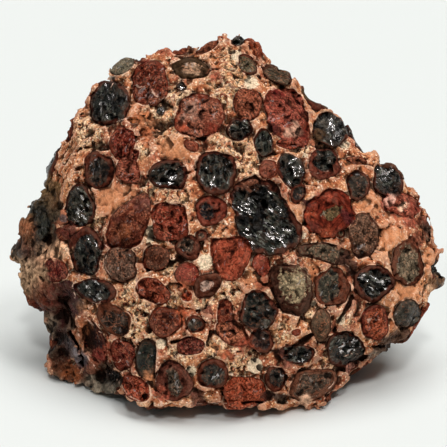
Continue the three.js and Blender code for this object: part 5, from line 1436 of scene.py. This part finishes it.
    # glint specks: pale and 0.9 metallic, so they reflect the lamps; their pale colour is also a painted highlight
    glint = m("ADD", m("ADD", u2, mul(m("SUBTRACT", cluster, 0.5), 0.20)), mul(sparkle, 0.34))
    glint = mul(ramp(glint, 0.98, 1.0), facet, inside, core_m)
    glint = m("MULTIPLY", glint, 1.0, clamp=True)
    core = mix(glint, core, (0.620, 0.760, 0.860))
    ball = mix(core_m, rim, core)
    # painted shade on the inner side of the groove: darker rim colour just inside the outline
    ball = mix(mul(ramp(out_mm, -0.55, -0.10), ramp(g.noise(P, 3.4, 3.0, 0.6), 0.40, 0.62), 0.40), ball, shade(rim_c, 0.35))
    stain = mul(ramp(n_mid, 0.58, 0.72), ramp(out_mm, -1.6, -0.2), m("SUBTRACT", 1.0, mul(gloss, 0.6)))
    ball = mix(mul(stain, core_m, 0.30), ball, (0.280, 0.095, 0.046))

    # ---- a painted highlight on the clay along its outline, and painted shade in the groove between them
    patchy = g.noise(P, 3.0, 3.0, 0.6)
    # painted highlight: a pale band of clay just outside the outline
    lip_highlight = mul(ramp(out_mm, 0.02, 0.10), ramp(out_mm, 0.42, 0.22), ramp(patchy, 0.42, 0.56))
    clay = mix(mul(lip_highlight, 0.85), clay, mix(n_small, (0.560, 0.300, 0.190), (0.780, 0.600, 0.460)))
    # painted shadow on the clay next to the pisolith
    shadowed = mul(ramp(out_mm, 0.9, 0.1), ramp(patchy, 0.50, 0.38))
    clay = mix(mul(shadowed, 0.45), clay, (0.130, 0.040, 0.020))
    ball = mix(1.0, ball, (1.10, 0.93, 0.86), "MULTIPLY")
    colour = mix(inside, clay, ball)
    # painted shade: a near-black band over the groove at the outline
    groove_shade = mul(ramp(out_mm, -0.30, -0.05), ramp(out_mm, 0.22, 0.02), ramp(g.noise(P, 2.7, 3.0, 0.6), 0.42, 0.62))
    colour = mix(mul(groove_shade, m("MULTIPLY_ADD", gloss, 0.30, 0.30)), colour, (0.024, 0.008, 0.005))

    # ---- stains and broken edges, painted shade at the lower left, and the thin pale seams with painted highlights along the lower edge
    # stains, and painted shade in the recess and cavity at the lower left
    stain_and_shade_m = mul(ramp(m("ADD", tinted, mul(m("SUBTRACT", n_mid, 0.5), 0.9)), 0.12, 0.62), 0.94)
    tint_shine = g.attr("tint_shine", "Fac")
    stain_and_shade_c = shade(tint_c, mul(ramp(n_small, 0.32, 0.68, 0.45, 1.50), ramp(n_mid, 0.36, 0.64, 0.55, 1.40)))
    stain_and_shade_c = mix(mul(ramp(t2, 0.90, 0.92), m("SUBTRACT", 0.5, mul(tint_shine, 0.4))), stain_and_shade_c, g.vec("ADD", tint_c, (0.200, 0.130, 0.085)))
    colour = mix(stain_and_shade_m, colour, stain_and_shade_c)
    # pale seams, and painted highlight along the lower edge of the main face
    vein_and_edge_highlight = mul(ramp(m("ADD", vein_and_highlight_far, mul(m("SUBTRACT", n_small, 0.5), 1.8)), 1.05, 0.35), ramp(n_mid, 0.40, 0.54))
    colour = mix(mul(vein_and_edge_highlight, 0.85), colour, mix(n_fine, (0.560, 0.330, 0.240), (0.850, 0.680, 0.560)))

    # ---- weathered skin, painted shade in grooves and deep hollows, painted highlight on ridges and edges
    pat = ramp(m("ADD", patina_z, mul(m("SUBTRACT", n_big, 0.5), 1.1)), 0.25, 0.70)
    skin = mix(ramp(n_mid, 0.42, 0.60), (0.016, 0.010, 0.007), (0.105, 0.038, 0.018))
    skin = mix(ramp(n_small, 0.60, 0.70), skin, (0.150, 0.088, 0.050))
    colour = mix(mul(pat, m("SUBTRACT", 0.86, mul(stain_and_shade_m, 0.80))), colour, skin)
    # painted shade in grooves and painted highlight on ridges, by how far each vertex stands out
    colour = shade(colour, mul(ramp(m("ADD", proud, mul(m("SUBTRACT", n_small, 0.5), 0.4)), -0.60, 0.0, 0.20, 1.0), ramp(proud, 0.0, 0.6, 1.0, 1.22)))
    colour = mix(1.0, colour, (1.18, 1.06, 0.99), "MULTIPLY")
    # painted highlight: pale colour on ridges and edges that stand out
    edge = mul(ramp(proud, 0.22, 0.70), m("SUBTRACT", 1.0, mul(inside, 0.85)), m("SUBTRACT", 1.0, mul(stain_and_shade_m, 0.95)))
    colour = mix(mul(edge, 0.35), colour, (0.640, 0.420, 0.290))
    # painted shade: near black where the surface is sunk more than 0.7 mm below the plain shape, in cracks and hollows
    deep = ramp(level, -0.7, -1.5)
    colour = mix(mul(deep, 0.80), colour, (0.012, 0.005, 0.003))

    # ---- gloss and bump
    shine = mul(inside, gloss, mixf(core_m, 0.30, 1.0), m("SUBTRACT", 1.0, mul(pat, 0.5)))
    shine = m("MAXIMUM", shine, mul(stain_and_shade_m, tint_shine, 0.85))
    rough = mixf(shine, 0.80, 0.14)
    rough = m("ADD", rough, mul(m("SUBTRACT", n_fine, 0.5), 0.25), clamp=True)

    def tilted(cells, vector, keep):
        c = g.vec("SUBTRACT", cells.outputs["Color"], (0.5, 0.5, 0.5))
        return mul(g.vec("DOT_PRODUCT", g.vec("SUBTRACT", vector, cells.outputs["Position"]), c, out=1), keep)

    glassy = mul(facet, inside, core_m)
    soft = m("SUBTRACT", 1.0, mul(glassy, 0.85), clamp=True)
    crystal = m("ADD", tilted(shells, glass_p, 1.5), tilted(splinters, glass_p, 1.2))
    crystal = m("ADD", crystal, tilted(g.cells(P, 1.5), P, 0.8))
    height = mul(crystal, glassy)
    height = m("ADD", height, mul(n_small, soft, m("ADD", 0.00024, mul(grain, inside, 0.00020))))
    height = m("ADD", height, mul(n_fine, soft, 0.00014))
    height = m("ADD", height, mul(g.m("MINIMUM", gap, 0.16), soft, m("ADD", mul(lively, m("SUBTRACT", 1.0, inside), 0.0007), mul(grain, inside, 0.0010))))
    bump = g.new("Bump")
    bump.inputs["Strength"].default_value = 1.0
    bump.inputs["Distance"].default_value = 1.0
    g.put(bump.inputs["Height"], height)

    bsdf = g.new("BsdfPrincipled")
    g.put(bsdf.inputs["Base Color"], colour)
    g.put(bsdf.inputs["Roughness"], rough)
    g.put(bsdf.inputs["Normal"], bump.outputs[0])
    g.put(bsdf.inputs["Metallic"], mul(glint, 0.9))
    bsdf.inputs["IOR"].default_value = ior
    end = g.new("OutputMaterial")
    g.put(end.inputs[0], bsdf.outputs[0])
    return g.mat


# The clay and the dull pisoliths reflect little; the glossy cores are the same stuff with a harder shine.
me.materials.append(stone_material("bauxite_clay", 1.08))
me.materials.append(stone_material("bauxite_glossy", 1.22))
glossy = (look[:, GLOSS] > 0.5) & (core3.reshape(-1, 3).mean(1) < 0) & (r3.reshape(-1, 3).mean(1) < 1)
me.polygons.foreach_set("material_index", glossy.astype(np.int32))




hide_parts("bauxite")
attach(stone, "root")


# ---- floor, light, camera ---------------------------------------------------------------------------------------
floor_me = mesh_of("floor", np.array([[-6, -6, 0], [6, -6, 0], [6, 6, 0], [-6, 6, 0]], float), np.array([[0, 1, 2, 3]]))
floor = bpy.data.objects.new("floor", floor_me)
bpy.context.scene.collection.objects.link(floor)
fm = bpy.data.materials.new("pale_paper")
fm.use_nodes = True
fb = fm.node_tree.nodes["Principled BSDF"]
fb.inputs["Base Color"].default_value = (0.76, 0.785, 0.76, 1)
fb.inputs["Roughness"].default_value = 0.9
floor_me.materials.append(fm)

world = bpy.data.worlds.new("studio")
bpy.context.scene.world = world
world.use_nodes = True
wt = world.node_tree
back = wt.nodes["Background"]
up = wt.nodes.new("ShaderNodeSeparateXYZ")
wt.links.new(wt.nodes.new("ShaderNodeTexCoord").outputs["Generated"], up.inputs[0])
fade = wt.nodes.new("ShaderNodeValToRGB")
fade.color_ramp.elements[0].position = 0.07
fade.color_ramp.elements[0].color = (0.30, 0.31, 0.30, 1)
fade.color_ramp.elements[1].position = 0.22
fade.color_ramp.elements[1].color = (0.09, 0.09, 0.09, 1)
wt.links.new(up.outputs[2], fade.inputs[0])
wt.links.new(fade.outputs[0], back.inputs[0])


def sun(name, toward, width, factor, colour=(1, 1, 1)):
    """Even light from one direction: the way to it, its angular width in degrees, and the light it gives a face turned to it."""
    li = bpy.data.lights.new(name, "SUN")
    li.angle = math.radians(width)
    li.energy = factor * math.pi
    li.color = colour
    o = bpy.data.objects.new(name, li)
    bpy.context.scene.collection.objects.link(o)
    way = Vector(toward).normalized()
    o.location = way * 0.8
    o.rotation_mode = "QUATERNION"
    o.rotation_quaternion = (-way).to_track_quat("-Z", "Y")
    return o


sun("overhead", (0.12, 0.08, 1.0), 44, 0.64)
sun("lamp_right", (0.45, -0.38, 1.0), 12, 0.23)
sun("lamp_left", (-0.75, -0.85, 1.10), 6, 0.05)
sun("flash", (0.05, -1.0, 1.40), 8, 0.28)

cam = bpy.data.cameras.new("camera")
cam.sensor_width = 36
cam.lens = APEX / (MID * PX) * 18
cam.clip_start, cam.clip_end = 0.01, 20
cam_o = bpy.data.objects.new("camera", cam)
bpy.context.scene.collection.objects.link(cam_o)
centre = Vector((CENTRE_X, CENTRE_Y, CENTRE_Z - 0.25)) * 0.001
Wv, Vv = Vector(W_AXIS), Vector(V_AXIS)
rot = Matrix(((1, 0, 0), (Vv.x, Vv.y, Vv.z), (Wv.x, Wv.y, Wv.z))).transposed()
cam_o.matrix_world = Matrix.Translation(centre + Wv * APEX * 0.001) @ rot.to_4x4()
bpy.context.scene.camera = cam_o
bpy.context.scene.view_settings.view_transform = "Standard"
